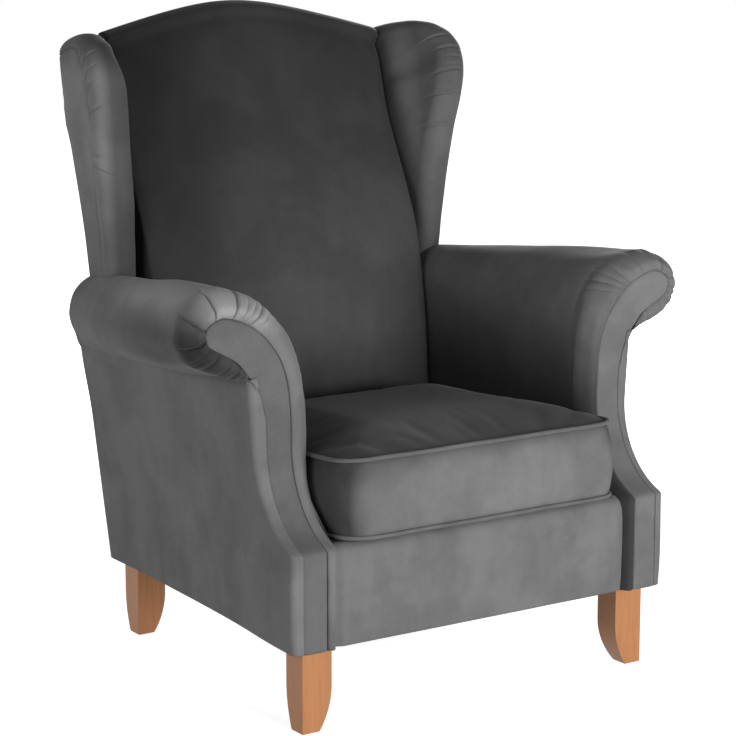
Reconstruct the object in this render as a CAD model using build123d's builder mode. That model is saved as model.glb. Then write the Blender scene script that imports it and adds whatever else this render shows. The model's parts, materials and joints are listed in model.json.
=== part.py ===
"""Wingback chair with scroll arms, a camel crest and a loose seat cushion.

Millimetres. The chair stands on z = 0, faces -Y and is the same on both sides of x = 0.
Right is +X as seen from the front. Each right-hand piece is modelled and its left twin mirrored.
A rise is a height above the underside of the body, a drop a distance below the crest.
"""
import os
from math import cos, hypot, radians, sin, sqrt, tan

from build123d import *

os.makedirs("parts", exist_ok=True)

# Clearances and thin layers
gap = 0.3
cloth = 2.0
seam_gap = 2.0
overshoot = 60.0
half_corner = radians(45.0)

# Legs
leg_height = 135.0
leg_top_width = 54.0
leg_top_depth = 48.0
leg_foot_width = 31.0
leg_foot_depth = 33.0
leg_straight = 62.0
front_leg_inset = 18.0
front_leg_setback = 20.0
rear_leg_inset = 23.0
rear_leg_inset_rear = 1.0

# Leg fixings
bolt_radius = 4.0
bolt_in_leg = 35.0
bolt_in_rail = 30.0
bolt_inset = 37.0
insert_radius = 6.5
insert_length = 20.0

# Front edge of the arms, seen from the side
base_front = -388.0
head_front = -284.0
sweep_rise = 305.0
step_rise = 157.0
facing_thickness = 10.0

# Outer side of the body
side_half_width = 334.6
side_taper = radians(2.59)
side_lean = radians(3.6)
panel_thickness = 8.0
frame_thickness = 28.0

# Seat frame
rail_height = 85.0
rail_thickness = 25.0
border_setback = 6.0
border_foam = 18.0
border_rise = 155.0
border_round = 14.0
rear_rail_inset = 11.0
block_reach = 105.0
block_height = 48.0
screw_radius = 2.5
screw_head_radius = 4.5
screw_head_height = 3.0
screw_in_rail = 18.0
screw_in_block = 26.0
screw_spread = 24.0
screw_offset = 58.0
screw_sides = 8

# Side frame
front_post_depth = 62.0
head_post_depth = 55.0
post_knee_rise = 165.0
post_top_rise = 365.0
stuff_rail_rise = 127.0
stuff_rail_height = 38.0
scroll_board_thickness = 18.0
scroll_board_cover = 14.0
scroll_board_start = 90.0
scroll_board_turn = -135.0
arm_rail_width = 24.0
arm_rail_height = 50.0
arm_rail_drop = 6.0

# Back
back_foot = 272.0
back_rake = radians(7.1)
back_half_width = 275.0
post_width = 28.0
post_foot_depth = 50.0
post_head_depth = 25.0
post_head_drop = 125.0
crest_rise = 945.0
crest_fall = 0.285
crest_soft = 34.0
crest_round = 24.0
crest_roll = 60.0
crest_pad = 30.0
crest_shares = (-1.0, -0.6, -0.3, 0.0, 0.3, 0.6, 1.0)
crest_rail_drop = 168.0
lower_rail_rise = 195.0
lower_rail_height = 55.0
webbing_width = 50.0
webbing_thickness = 1.5
webbing_spacing = 140.0
webbing_count = 4
back_low_rise = 115.0
back_crown = 20.0
back_shares = (-1.0, -0.5, 0.0, 0.5, 1.0)
seat_level = 148.0
lumbar_rise = 405.0
lumbar_depth = 177.0
waist_rise = 522.0
waist_depth = 199.0
neck_drop = 205.0
shoulder_depth = 297.0
shoulder_slope = 0.312
outside_back_thickness = 5.5
outside_waist_rise = 483.0
outside_waist = 315.0
outside_shoulder_drop = 95.0
outside_shoulder = 345.0

# Arms
arm_low_rise = 105.0
arm_rear = 318.0
roll_front_x = 404.0
roll_front_rise = 478.0
roll_front_radius = 68.0
roll_rear_x = 307.0
roll_rear_rise = 431.0
roll_rear_radius = 60.0
notch_lift = 4.0
notch_fall = 6.0
underside_angle = radians(38.0)
wall_drop = 1.38
shoulder_drop = 0.58
shoulder_reach = 0.20

# Facing, seen from the front, its points from the middle of the roll
facing_inner = 300.0
facing_outer = 344.0
facing_wall_fall = 123.0
facing_shoulder = (-68.0, -13.0)
facing_crown = (8.0, 33.0)
facing_tip = (45.0, 11.0)
facing_tip_side = (42.0, -2.0)
facing_tip_low = (26.0, -15.0)
facing_throat = (-12.0, -38.0)
facing_bend = (-42.0, -78.0)
facing_neck_fall = 143.0

# Wings
wing_foot_y = 239.0
wing_foot_x = 318.0
wing_foot_rise = 505.0
wing_yaw = radians(12.1)
wing_lean = radians(3.6)
wing_thickness = 60.0
wing_edge_round = 23.0
wing_board_thickness = 18.0
wing_board_cover = 18.0
wing_low_points = (
    (216.0, 455.0),
    (204.0, 595.0),
)
wing_top_points = (
    (184.0, 155.0),
    (198.0, 88.0),
    (246.0, 51.0),
    (320.0, 42.0),
    (440.0, 52.0),
)

# Springing and deck
spring_count = 4
spring_spacing = 130.0
spring_rows = 13
spring_half_width = 26.0
wire_radius = 1.8
wire_sides = 6
clip_length = 18.0
clip_depth = 14.0
clip_wall = 2.0
felt_thickness = 3.0
deck_front_rise = 161.0
deck_slope = radians(4.0)
deck_half_width = 274.0

# Dust cover
dust_thickness = 1.5
dust_inset = 6.0

# Loose cushion
cushion_front = -389.5
cushion_rear = 120.5
cushion_half_front = 266.5
cushion_half_rear = 264.5
cushion_box = 125.0
cushion_crown = 30.0
cushion_bulge = 3.0
cushion_crown_edge = 42.0
cushion_crown_top = 120.0
cushion_crown_share = 0.62
cushion_front_round = 46.0
cushion_rear_round = 20.0
cushion_rest = 0.4
piping_radius = 4.0
piping_gap = 0.5
cord_sides = 8
zip_length = 420.0
zip_height = 14.0
zip_proud = 0.5

# Heights above the ground
rail_top = leg_height + rail_height
step_height = leg_height + step_rise
sweep_top = leg_height + sweep_rise
border_height = leg_height + border_rise
deck_front_height = leg_height + deck_front_rise
post_knee = leg_height + post_knee_rise
post_top = leg_height + post_top_rise
stuff_rail_low = leg_height + stuff_rail_rise
arm_low = leg_height + arm_low_rise
roll_front_z = leg_height + roll_front_rise
roll_rear_z = leg_height + roll_rear_rise
lower_rail_low = leg_height + lower_rail_rise
back_low = leg_height + back_low_rise
lumbar_height = leg_height + lumbar_rise
waist_height = leg_height + waist_rise
outside_waist_height = leg_height + outside_waist_rise
wing_foot_z = leg_height + wing_foot_rise
crest_height = leg_height + crest_rise
post_head = crest_height - post_head_drop
crest_rail_low = crest_height - crest_rail_drop
shoulder_height = crest_height - neck_drop
outside_shoulder_height = crest_height - outside_shoulder_drop
wing_outline = [(y, leg_height + rise) for y, rise in wing_low_points]
wing_outline += [(y, crest_height - drop) for y, drop in wing_top_points]

# Places worked out from the sizes
cover_front = facing_thickness + gap
post_front = cover_front + cloth + gap
border_front = base_front + border_setback
rail_front = border_front + cloth + border_foam + gap
rail_rear = rail_front + rail_thickness
post_rear_base = base_front + post_front + front_post_depth
post_rear_head = head_front + post_front + head_post_depth
frame_depth = panel_thickness + gap + frame_thickness
arm_inner = back_half_width + seam_gap
border_half_width = arm_inner
below = leg_height - overshoot
far_front = base_front - overshoot
cut_front = far_front - overshoot
cut_low = below - overshoot
far_side = roll_front_x + roll_front_radius + overshoot


def side_x(y, z):
    """Outer face of the side at depth y and height z."""
    return side_half_width - tan(side_taper) * y + tan(side_lean) * (z - leg_height)


def back_y(z):
    """Rear face of the back frame at height z."""
    return back_foot + tan(back_rake) * (z - leg_height)


def deck_z(y):
    """Top of the deck at depth y."""
    return deck_front_height - tan(deck_slope) * (y - rail_front)


def crest_z(x):
    """Top of the camel crest at x."""
    return crest_height + crest_soft - hypot(crest_soft, crest_fall * x)


rear_rail_rear = back_foot - rear_rail_inset
rear_rail_front = rear_rail_rear - rail_thickness
post_inner = side_x(back_foot, leg_height) - panel_thickness - 2 * gap - post_width
post_outer = post_inner + post_width
post_top_rear = (back_y(post_head), post_head)
post_top_front = (
    post_top_rear[0] - post_head_depth * cos(back_rake),
    post_top_rear[1] + post_head_depth * sin(back_rake),
)
post_foot_front = back_foot - post_foot_depth

side_plane = Plane(
    origin=(side_half_width, 0, leg_height),
    x_dir=(-tan(side_taper), 1, 0),
    z_dir=(1, tan(side_taper), -tan(side_lean)),
)
side_inner_plane = side_plane.offset(-frame_depth)
back_plane = Plane(
    origin=(0, back_foot, leg_height),
    x_dir=(-1, 0, 0),
    z_dir=(0, cos(back_rake), -sin(back_rake)),
)
wing_plane = Plane(
    origin=(wing_foot_x, wing_foot_y, wing_foot_z),
    x_dir=(-sin(wing_yaw), cos(wing_yaw), 0),
    z_dir=(cos(wing_yaw) * cos(wing_lean), sin(wing_yaw) * cos(wing_lean), -sin(wing_lean)),
)
seat_plane = Plane(
    origin=(0, 0, deck_z(0) + cushion_rest),
    x_dir=(1, 0, 0),
    z_dir=(0, sin(deck_slope), cos(deck_slope)),
)
floor_plane = Plane.XY.offset(leg_height)


def on_side(y, z):
    """Place in the side plane of the point at depth y and height z."""
    local = side_plane.to_local_coords(Vector(side_x(y, z), y, z))
    return (local.X, local.Y)


def on_back(x, z):
    """Place in the back plane of the point at x and height z."""
    return (-x, (z - leg_height) / cos(back_rake))


def from_roll(place):
    """Point at the front of the arm, given from the middle of the roll."""
    return (roll_front_x + place[0], roll_front_z + place[1])


def on_wing(y, z):
    """Place in the wing plane of the point at depth y and height z."""
    normal = wing_plane.z_dir
    x = wing_foot_x - (normal.Y * (y - wing_foot_y) + normal.Z * (z - wing_foot_z)) / normal.X
    local = wing_plane.to_local_coords(Vector(x, y, z))
    return (local.X, local.Y)


def front_space(depth):
    """Everything in front of the arm's swept front edge, moved back by depth."""
    fall = sweep_top - step_height
    reach = head_front - base_front
    radius = (fall * fall + reach * reach) / (2 * reach)
    centre_y = head_front - radius
    ring = radius + depth
    corner_y = base_front + depth
    corner_z = sweep_top - sqrt(ring * ring - (corner_y - centre_y) ** 2)
    middle = Vector(corner_y - centre_y, corner_z - sweep_top).normalized() + Vector(1, 0)
    middle = middle.normalized() * ring
    head_y = head_front + depth
    with BuildPart() as space:
        with BuildSketch(Plane.YZ):
            with BuildLine():
                Polyline((head_y, sweep_top), (head_y, crest_height), (cut_front, crest_height))
                Polyline((cut_front, crest_height), (cut_front, cut_low), (corner_y, cut_low))
                Line((corner_y, cut_low), (corner_y, corner_z))
                ThreePointArc(
                    (corner_y, corner_z),
                    (centre_y + middle.X, sweep_top + middle.Y),
                    (head_y, sweep_top),
                )
            make_face()
        extrude(amount=far_side, both=True)
    return space.part


def arm_form(inset, rear, front):
    """Inside arm and roll as one body, drawn in by inset, ending at rear and at the front edge."""
    with BuildPart() as form:
        for y in (far_front, rear):
            share = (y - head_front) / (arm_rear - head_front)
            x_mid = roll_front_x + share * (roll_rear_x - roll_front_x)
            z_mid = roll_front_z + share * (roll_rear_z - roll_front_z)
            full = roll_front_radius + share * (roll_rear_radius - roll_front_radius)
            radius = full - inset
            wall = arm_inner + inset
            top = z_mid + radius
            width = x_mid - wall
            low = arm_low + inset
            notch = z_mid - full + notch_lift
            hidden = notch - notch_fall + inset
            wall_top = (wall, top - wall_drop * width)
            shoulder = (wall + shoulder_reach * width, top - shoulder_drop * width)
            tip = (x_mid + radius, z_mid)
            under = (x_mid + radius * cos(underside_angle), z_mid - radius * sin(underside_angle))
            with BuildSketch(Plane.XZ.offset(-y)):
                with BuildLine():
                    inner = Line((wall, low), wall_top)
                    rise = TangentArc(inner @ 1, shoulder, tangent=inner % 1)
                    TangentArc(rise @ 1, (x_mid, top), tangent=rise % 1)
                    ThreePointArc(
                        (x_mid, top),
                        (x_mid + radius * cos(half_corner), z_mid + radius * sin(half_corner)),
                        tip,
                    )
                    ThreePointArc(
                        tip,
                        (
                            x_mid + radius * cos(underside_angle / 2),
                            z_mid - radius * sin(underside_angle / 2),
                        ),
                        under,
                    )
                    Polyline(
                        under,
                        (side_x(y, notch) - inset, notch + inset),
                        (side_x(y, hidden) - frame_depth - gap - inset, hidden),
                        (side_x(y, low) - frame_depth - gap - inset, low),
                        (wall, low),
                    )
                make_face()
        loft(ruled=True)
        add(front_space(front), mode=Mode.SUBTRACT)
        split(bisect_by=back_plane.offset(-gap - max(inset, 0)), keep=Keep.BOTTOM)
        add(arm_stop.part, mode=Mode.SUBTRACT)
    return form.part


def back_form(inset):
    """Padded inside back with its crest, drawn in by inset."""
    half = back_half_width - inset
    web = (rail_thickness + webbing_thickness + gap) / cos(back_rake)
    low = back_low + inset
    ledge = crest_rail_low - gap + inset
    with BuildPart() as form:
        for share in back_shares:
            x = share * half
            swell = back_crown * (1 - share * share) - inset
            top = crest_z(x) - inset
            neck = top - crest_roll
            neck_depth = shoulder_depth + shoulder_slope * (neck - shoulder_height)
            rear = back_y(top - crest_round) - gap - inset
            turn = crest_round * (1 - cos(half_corner))
            with BuildSketch(Plane.YZ.offset(x)):
                with BuildLine():
                    front = Spline(
                        (seat_level - swell, low),
                        (lumbar_depth - swell, lumbar_height),
                        (waist_depth - swell, waist_height),
                        (shoulder_depth - swell, shoulder_height),
                        (neck_depth - swell, neck),
                    )
                    TangentArc(front @ 1, (rear - crest_round, top), tangent=front % 1)
                    ThreePointArc(
                        (rear - crest_round, top),
                        (rear - turn, top - turn),
                        (rear, top - crest_round),
                    )
                    Polyline(
                        (rear, top - crest_round),
                        (back_y(ledge) - gap - inset, ledge),
                        (back_y(ledge) - web - inset, ledge),
                        (back_y(low) - web - inset, low),
                        (seat_level - swell, low),
                    )
                make_face()
        loft()
    return form.part


def drawn_in(points, inset):
    """Points of a line moved to its right-hand side by inset."""
    moved = []
    for before, (u, v), after in zip(points[:1] + points, points, points[1:] + points[-1:]):
        along = Vector(after[0] - before[0], after[1] - before[1]).normalized()
        moved.append((u + inset * along.Y, v - inset * along.X))
    return moved


def wing_form(inset, thickness, cover):
    """Wing slab of the given thickness, its outline drawn in by inset."""
    with BuildPart() as form:
        with BuildSketch(wing_plane.offset(thickness / 2)):
            with BuildLine():
                edge = Spline(*drawn_in([on_wing(y, z) for y, z in wing_outline], inset))
                Polyline(edge @ 1, on_wing(wing_outline[-1][0], wing_outline[0][1]), edge @ 0)
            make_face()
        extrude(amount=-thickness)
        if cover:
            rim = form.edges().filter_by(GeomType.LINE, reverse=True)
            fillet(rim, radius=wing_edge_round - inset)
        split(bisect_by=back_plane.offset(-gap - inset), keep=Keep.BOTTOM)
        split(bisect_by=Plane.YZ.offset(back_half_width + gap + inset), keep=Keep.TOP)
        add(arm_form(-gap - inset, arm_rear + gap + inset, cover_front), mode=Mode.SUBTRACT)
    return form.part


def cushion_plan(height, inset):
    """Plan of the cushion at a height above the seat plane, drawn in by inset."""
    front = cushion_front + inset
    rear = cushion_rear - inset
    with BuildSketch(seat_plane.offset(height)) as plan:
        with BuildLine():
            Polyline(
                (cushion_half_rear - inset, rear),
                (cushion_half_front - inset, front),
                (inset - cushion_half_front, front),
                (inset - cushion_half_rear, rear),
                close=True,
            )
        make_face()
        fillet(plan.vertices().group_by(Axis.Y)[0], radius=cushion_front_round)
        fillet(plan.vertices().group_by(Axis.Y)[-1], radius=cushion_rear_round)
    return plan.sketch


def cushion_form(inset):
    """Boxed cushion with a crowned top, drawn in by inset."""
    levels = (
        (inset, inset),
        (cushion_box / 2, inset - cushion_bulge),
        (cushion_box - inset, inset),
        (cushion_box + cushion_crown * cushion_crown_share - inset, cushion_crown_edge),
        (cushion_box + cushion_crown - inset, cushion_crown_top),
    )
    plans = [cushion_plan(height, level) for height, level in levels]
    with BuildPart() as form:
        loft([plan.face() for plan in plans], ruled=True)
    return form.part


def piping_ring(height):
    """Piping cord round the cushion at a height above the seat plane."""
    path = cushion_plan(height, -piping_radius - piping_gap).face().outer_wire()
    with BuildPart() as ring:
        with BuildSketch(Plane(origin=path @ 0, z_dir=path % 0)):
            RegularPolygon(piping_radius, cord_sides)
        sweep(path=path)
    return ring.part


def leg_form(outer, front, bolt_y):
    """Square leg, upright outside and in front, drawn in by a curve inside and behind."""
    inner = outer - leg_top_width
    back = front + leg_top_depth
    bend = leg_height - leg_straight
    with BuildPart() as form:
        with BuildSketch(Plane.XZ.offset(-front)):
            with BuildLine():
                Polyline((outer - leg_foot_width, 0), (outer, 0), (outer, leg_height), (inner, leg_height))
                side = Line((inner, leg_height), (inner, bend))
                TangentArc(side @ 1, (outer - leg_foot_width, 0), tangent=side % 1)
            make_face()
        extrude(amount=-leg_top_depth)
        with BuildSketch(Plane.YZ.offset(outer)):
            with BuildLine():
                Polyline((front + leg_foot_depth, 0), (front, 0), (front, leg_height), (back, leg_height))
                rear = Line((back, leg_height), (back, bend))
                TangentArc(rear @ 1, (front + leg_foot_depth, 0), tangent=rear % 1)
            make_face()
        extrude(amount=-leg_top_width, mode=Mode.INTERSECT)
        with Locations((outer - bolt_inset, bolt_y, leg_height)):
            Hole(bolt_radius, depth=bolt_in_leg)
    return form.part


def corner_block(rail_y, towards):
    """Triangular block in the corner between a cross rail and a side rail."""
    edge = side_x(rail_y, leg_height) - frame_depth
    with BuildPart() as block:
        with BuildSketch(floor_plane):
            with BuildLine():
                Polyline(
                    (edge - block_reach, rail_y),
                    (edge + frame_thickness, rail_y),
                    (edge + frame_thickness, rail_y + towards * (block_reach + frame_thickness)),
                    close=True,
                )
            make_face()
        extrude(amount=block_height)
        split(bisect_by=side_inner_plane, keep=Keep.BOTTOM)
        add(right_back_post.part, mode=Mode.SUBTRACT)
        add(block_screws.part, mode=Mode.SUBTRACT)
    return block.part


# Legs and their fixings
front_leg_outer = side_x(base_front, leg_height) - front_leg_inset
front_leg_front = base_front + front_leg_setback
rear_leg_outer = side_x(back_foot, leg_height) - rear_leg_inset
rear_leg_front = back_foot - rear_leg_inset_rear - leg_top_depth
front_bolt_y = rail_front + rail_thickness / 2
rear_bolt_y = rear_rail_front + rail_thickness / 2
bolt_places = [
    (front_leg_outer - bolt_inset, front_bolt_y),
    (bolt_inset - front_leg_outer, front_bolt_y),
    (rear_leg_outer - bolt_inset, rear_bolt_y),
    (bolt_inset - rear_leg_outer, rear_bolt_y),
]

with BuildPart() as right_front_leg:
    add(leg_form(front_leg_outer, front_leg_front, front_bolt_y))
right_front_leg.part.label = "right_front_leg"
export_step(right_front_leg.part, "parts/right_front_leg.step")

with BuildPart() as left_front_leg:
    mirror(right_front_leg.part, about=Plane.YZ)
left_front_leg.part.label = "left_front_leg"
export_step(left_front_leg.part, "parts/left_front_leg.step")

with BuildPart() as right_rear_leg:
    add(leg_form(rear_leg_outer, rear_leg_front, rear_bolt_y))
right_rear_leg.part.label = "right_rear_leg"
export_step(right_rear_leg.part, "parts/right_rear_leg.step")

with BuildPart() as left_rear_leg:
    mirror(right_rear_leg.part, about=Plane.YZ)
left_rear_leg.part.label = "left_rear_leg"
export_step(left_rear_leg.part, "parts/left_rear_leg.step")

with BuildPart() as leg_bolts:
    with Locations([(x, y, leg_height - bolt_in_leg) for x, y in bolt_places]):
        Cylinder(bolt_radius, bolt_in_leg + bolt_in_rail, align=(Align.CENTER, Align.CENTER, Align.MIN))
leg_bolts.part.label = "leg_bolts"
export_step(leg_bolts.part, "parts/leg_bolts.step")

with BuildPart() as leg_inserts:
    with Locations([(x, y, leg_height) for x, y in bolt_places]):
        Cylinder(insert_radius, insert_length, align=(Align.CENTER, Align.CENTER, Align.MIN))
    add(leg_bolts.part, mode=Mode.SUBTRACT)
leg_inserts.part.label = "leg_inserts"
export_step(leg_inserts.part, "parts/leg_inserts.step")

# Back posts, raked and tapered upwards
with BuildPart() as right_back_post:
    with BuildSketch(Plane.YZ.offset(post_inner)):
        with BuildLine():
            Polyline(
                (post_foot_front, leg_height),
                (back_foot, leg_height),
                post_top_rear,
                post_top_front,
                close=True,
            )
        make_face()
    extrude(amount=post_width)
right_back_post.part.label = "right_back_post"
export_step(right_back_post.part, "parts/right_back_post.step")

with BuildPart() as left_back_post:
    mirror(right_back_post.part, about=Plane.YZ)
left_back_post.part.label = "left_back_post"
export_step(left_back_post.part, "parts/left_back_post.step")

# Space behind the front of the back posts, where the side rails end
with BuildPart() as post_space:
    with BuildSketch(Plane.YZ):
        with BuildLine():
            Polyline(
                (post_foot_front, leg_height),
                post_top_front,
                (back_y(crest_height) + overshoot, crest_height),
                (back_y(crest_height) + overshoot, leg_height),
                close=True,
            )
        make_face()
    extrude(amount=far_side, both=True)

# Space behind the inside arms, below the rolls
arm_stop_top = roll_rear_z - roll_rear_radius + notch_lift - notch_fall - gap
with BuildPart() as arm_stop:
    add(post_space.part)
    with Locations((0, -gap - webbing_thickness, 0)):
        add(post_space.part)
    split(bisect_by=Plane.XY.offset(arm_stop_top), keep=Keep.BOTTOM)

# Screws that hold the corner blocks to the cross rails
screw_places = []
for rail_y, towards in ((rail_rear, 1), (rear_rail_front, -1)):
    screw_x = side_x(rail_y, leg_height) - frame_depth - screw_offset
    for x in (screw_x, screw_x + screw_spread, -screw_x, -screw_x - screw_spread):
        screw_places.append(
            Plane(origin=(x, rail_y, leg_height + block_height / 2), z_dir=(0, towards, 0))
        )

with BuildPart() as block_screws:
    for place in screw_places:
        with BuildSketch(place.offset(-screw_in_rail)):
            RegularPolygon(screw_radius, screw_sides)
        extrude(amount=screw_in_rail + screw_in_block)
        with BuildSketch(place.offset(screw_in_block)):
            RegularPolygon(screw_head_radius, screw_sides)
        extrude(amount=screw_head_height)
block_screws.part.label = "block_screws"
export_step(block_screws.part, "parts/block_screws.step")

# Cross rails of the seat
mirrored_inner = Plane(
    origin=(-side_inner_plane.origin.X, side_inner_plane.origin.Y, side_inner_plane.origin.Z),
    z_dir=(-side_inner_plane.z_dir.X, side_inner_plane.z_dir.Y, side_inner_plane.z_dir.Z),
)

with BuildPart() as front_rail:
    with BuildSketch(floor_plane):
        with BuildLine():
            Polyline(
                (-far_side, rail_front),
                (far_side, rail_front),
                (far_side, rail_rear),
                (-far_side, rail_rear),
                close=True,
            )
        make_face()
    extrude(amount=rail_height)
    split(bisect_by=side_inner_plane, keep=Keep.BOTTOM)
    split(bisect_by=mirrored_inner, keep=Keep.BOTTOM)
    add(leg_bolts.part, mode=Mode.SUBTRACT)
    add(leg_inserts.part, mode=Mode.SUBTRACT)
    add(block_screws.part, mode=Mode.SUBTRACT)
front_rail.part.label = "front_rail"
export_step(front_rail.part, "parts/front_rail.step")

with BuildPart() as rear_rail:
    with BuildSketch(floor_plane):
        with Locations((0, rear_rail_front + rail_thickness / 2)):
            Rectangle(2 * post_inner, rail_thickness)
    extrude(amount=rail_height)
    add(leg_bolts.part, mode=Mode.SUBTRACT)
    add(leg_inserts.part, mode=Mode.SUBTRACT)
    add(block_screws.part, mode=Mode.SUBTRACT)
rear_rail.part.label = "rear_rail"
export_step(rear_rail.part, "parts/rear_rail.step")

with BuildPart() as corner_blocks:
    add(corner_block(rail_rear, 1))
    add(corner_block(rear_rail_front, -1))
    mirror(about=Plane.YZ)
corner_blocks.part.label = "corner_blocks"
export_step(corner_blocks.part, "parts/corner_blocks.step")

# Side frames, in one layer behind the outside panels
frame_face = side_plane.offset(-panel_thickness - gap)

with BuildPart() as right_front_post:
    with BuildSketch(frame_face):
        with BuildLine():
            Polyline(
                on_side(far_front, below),
                on_side(post_rear_base, below),
                on_side(post_rear_base, post_knee),
                on_side(post_rear_head, sweep_top),
                on_side(post_rear_head, post_top + overshoot),
                on_side(far_front, post_top + overshoot),
                close=True,
            )
        make_face()
    extrude(amount=-frame_thickness)
    split(bisect_by=floor_plane, keep=Keep.TOP)
    split(bisect_by=Plane.XY.offset(post_top), keep=Keep.BOTTOM)
    add(front_space(post_front), mode=Mode.SUBTRACT)
right_front_post.part.label = "right_front_post"
export_step(right_front_post.part, "parts/right_front_post.step")

with BuildPart() as left_front_post:
    mirror(right_front_post.part, about=Plane.YZ)
left_front_post.part.label = "left_front_post"
export_step(left_front_post.part, "parts/left_front_post.step")

with BuildPart() as right_side_rail:
    with BuildSketch(frame_face):
        with BuildLine():
            Polyline(
                on_side(post_rear_base, below),
                on_side(back_foot, below),
                on_side(back_foot, rail_top),
                on_side(post_rear_base, rail_top),
                close=True,
            )
        make_face()
    extrude(amount=-frame_thickness)
    split(bisect_by=floor_plane, keep=Keep.TOP)
    add(post_space.part, mode=Mode.SUBTRACT)
right_side_rail.part.label = "right_side_rail"
export_step(right_side_rail.part, "parts/right_side_rail.step")

with BuildPart() as left_side_rail:
    mirror(right_side_rail.part, about=Plane.YZ)
left_side_rail.part.label = "left_side_rail"
export_step(left_side_rail.part, "parts/left_side_rail.step")

with BuildPart() as right_stuff_rail:
    with BuildSketch(frame_face):
        with BuildLine():
            Polyline(
                on_side(post_rear_base, stuff_rail_low),
                on_side(back_foot, stuff_rail_low),
                on_side(back_foot, stuff_rail_low + stuff_rail_height),
                on_side(post_rear_base, stuff_rail_low + stuff_rail_height),
                close=True,
            )
        make_face()
    extrude(amount=-frame_thickness)
    add(post_space.part, mode=Mode.SUBTRACT)
right_stuff_rail.part.label = "right_stuff_rail"
export_step(right_stuff_rail.part, "parts/right_stuff_rail.step")

with BuildPart() as left_stuff_rail:
    mirror(right_stuff_rail.part, about=Plane.YZ)
left_stuff_rail.part.label = "left_stuff_rail"
export_step(left_stuff_rail.part, "parts/left_stuff_rail.step")

# Scroll boards behind the facings, on top of the front posts
board_front = head_front + post_front
board_rear = board_front + scroll_board_thickness
board_radius = roll_front_radius - scroll_board_cover
board_inner = arm_inner + scroll_board_cover
board_neck = side_x(board_rear, post_top) - panel_thickness - 2 * gap
board_top = roll_front_z + board_radius
board_width = roll_front_x - board_inner
board_shoulder = (board_inner + shoulder_reach * board_width, board_top - shoulder_drop * board_width)

with BuildPart() as right_scroll_board:
    with BuildSketch(Plane.XZ.offset(-board_front)):
        with BuildLine():
            wall = Line((board_inner, post_top), (board_inner, board_top - wall_drop * board_width))
            rise = TangentArc(wall @ 1, board_shoulder, tangent=wall % 1)
            TangentArc(rise @ 1, (roll_front_x, board_top), tangent=rise % 1)
            head = CenterArc(
                (roll_front_x, roll_front_z), board_radius, scroll_board_start, scroll_board_turn
            )
            Polyline(
                head @ 1,
                (board_neck, roll_front_z - board_radius),
                (board_neck, post_top),
                (board_inner, post_top),
            )
        make_face()
    extrude(amount=-scroll_board_thickness)
right_scroll_board.part.label = "right_scroll_board"
export_step(right_scroll_board.part, "parts/right_scroll_board.step")

with BuildPart() as left_scroll_board:
    mirror(right_scroll_board.part, about=Plane.YZ)
left_scroll_board.part.label = "left_scroll_board"
export_step(left_scroll_board.part, "parts/left_scroll_board.step")

# Arm rails along the rolls, from the scroll boards to the back posts
with BuildPart() as right_arm_rail:
    for y in (board_rear, arm_rear):
        share = (y - head_front) / (arm_rear - head_front)
        x = roll_front_x + share * (roll_rear_x - roll_front_x) - arm_rail_drop
        z = roll_front_z + share * (roll_rear_z - roll_front_z) - arm_rail_drop
        with BuildSketch(Plane.XZ.offset(-y)):
            with Locations((x, z)):
                Rectangle(arm_rail_width, arm_rail_height)
    loft(ruled=True)
    add(post_space.part, mode=Mode.SUBTRACT)
right_arm_rail.part.label = "right_arm_rail"
export_step(right_arm_rail.part, "parts/right_arm_rail.step")

with BuildPart() as left_arm_rail:
    mirror(right_arm_rail.part, about=Plane.YZ)
left_arm_rail.part.label = "left_arm_rail"
export_step(left_arm_rail.part, "parts/left_arm_rail.step")

# Crest rail on top of the back posts, lower rail between them
crest_points = [share * post_outer for share in crest_shares]

with BuildPart() as crest_rail:
    with BuildSketch(back_plane):
        with BuildLine():
            top = Spline(*[on_back(x, crest_z(x) - crest_pad) for x in crest_points])
            Polyline(
                top @ 0,
                on_back(-post_outer, post_head),
                on_back(-post_inner, post_head),
                on_back(-post_inner, crest_rail_low),
                on_back(post_inner, crest_rail_low),
                on_back(post_inner, post_head),
                on_back(post_outer, post_head),
                top @ 1,
            )
        make_face()
    extrude(amount=-rail_thickness)
crest_rail.part.label = "crest_rail"
export_step(crest_rail.part, "parts/crest_rail.step")

with BuildPart() as lower_back_rail:
    with BuildSketch(back_plane):
        with Locations(on_back(0, lower_rail_low + lower_rail_height / 2)):
            Rectangle(2 * post_inner, lower_rail_height)
    extrude(amount=-rail_thickness)
lower_back_rail.part.label = "lower_back_rail"
export_step(lower_back_rail.part, "parts/lower_back_rail.step")

# Webbing from the lower rail up to the crest rail
webbing_top = post_head
with BuildPart() as back_webbing:
    with BuildSketch(back_plane.offset(-rail_thickness)):
        with Locations(on_back(0, (lower_rail_low + webbing_top) / 2)):
            with GridLocations(webbing_spacing, 0, webbing_count, 1):
                Rectangle(webbing_width, (webbing_top - lower_rail_low) / cos(back_rake))
    extrude(amount=-webbing_thickness)
back_webbing.part.label = "back_webbing"
export_step(back_webbing.part, "parts/back_webbing.step")

# Wing boards, held by the fronts of the back posts
with BuildPart() as right_wing_board:
    add(wing_form(wing_board_cover, wing_board_thickness, False))
    add(right_back_post.part, mode=Mode.SUBTRACT)
    add(crest_rail.part, mode=Mode.SUBTRACT)
right_wing_board.part.label = "right_wing_board"
export_step(right_wing_board.part, "parts/right_wing_board.step")

with BuildPart() as left_wing_board:
    mirror(right_wing_board.part, about=Plane.YZ)
left_wing_board.part.label = "left_wing_board"
export_step(left_wing_board.part, "parts/left_wing_board.step")

# Wing pads and covers
wing_pad_thickness = wing_thickness - 2 * cloth

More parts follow.
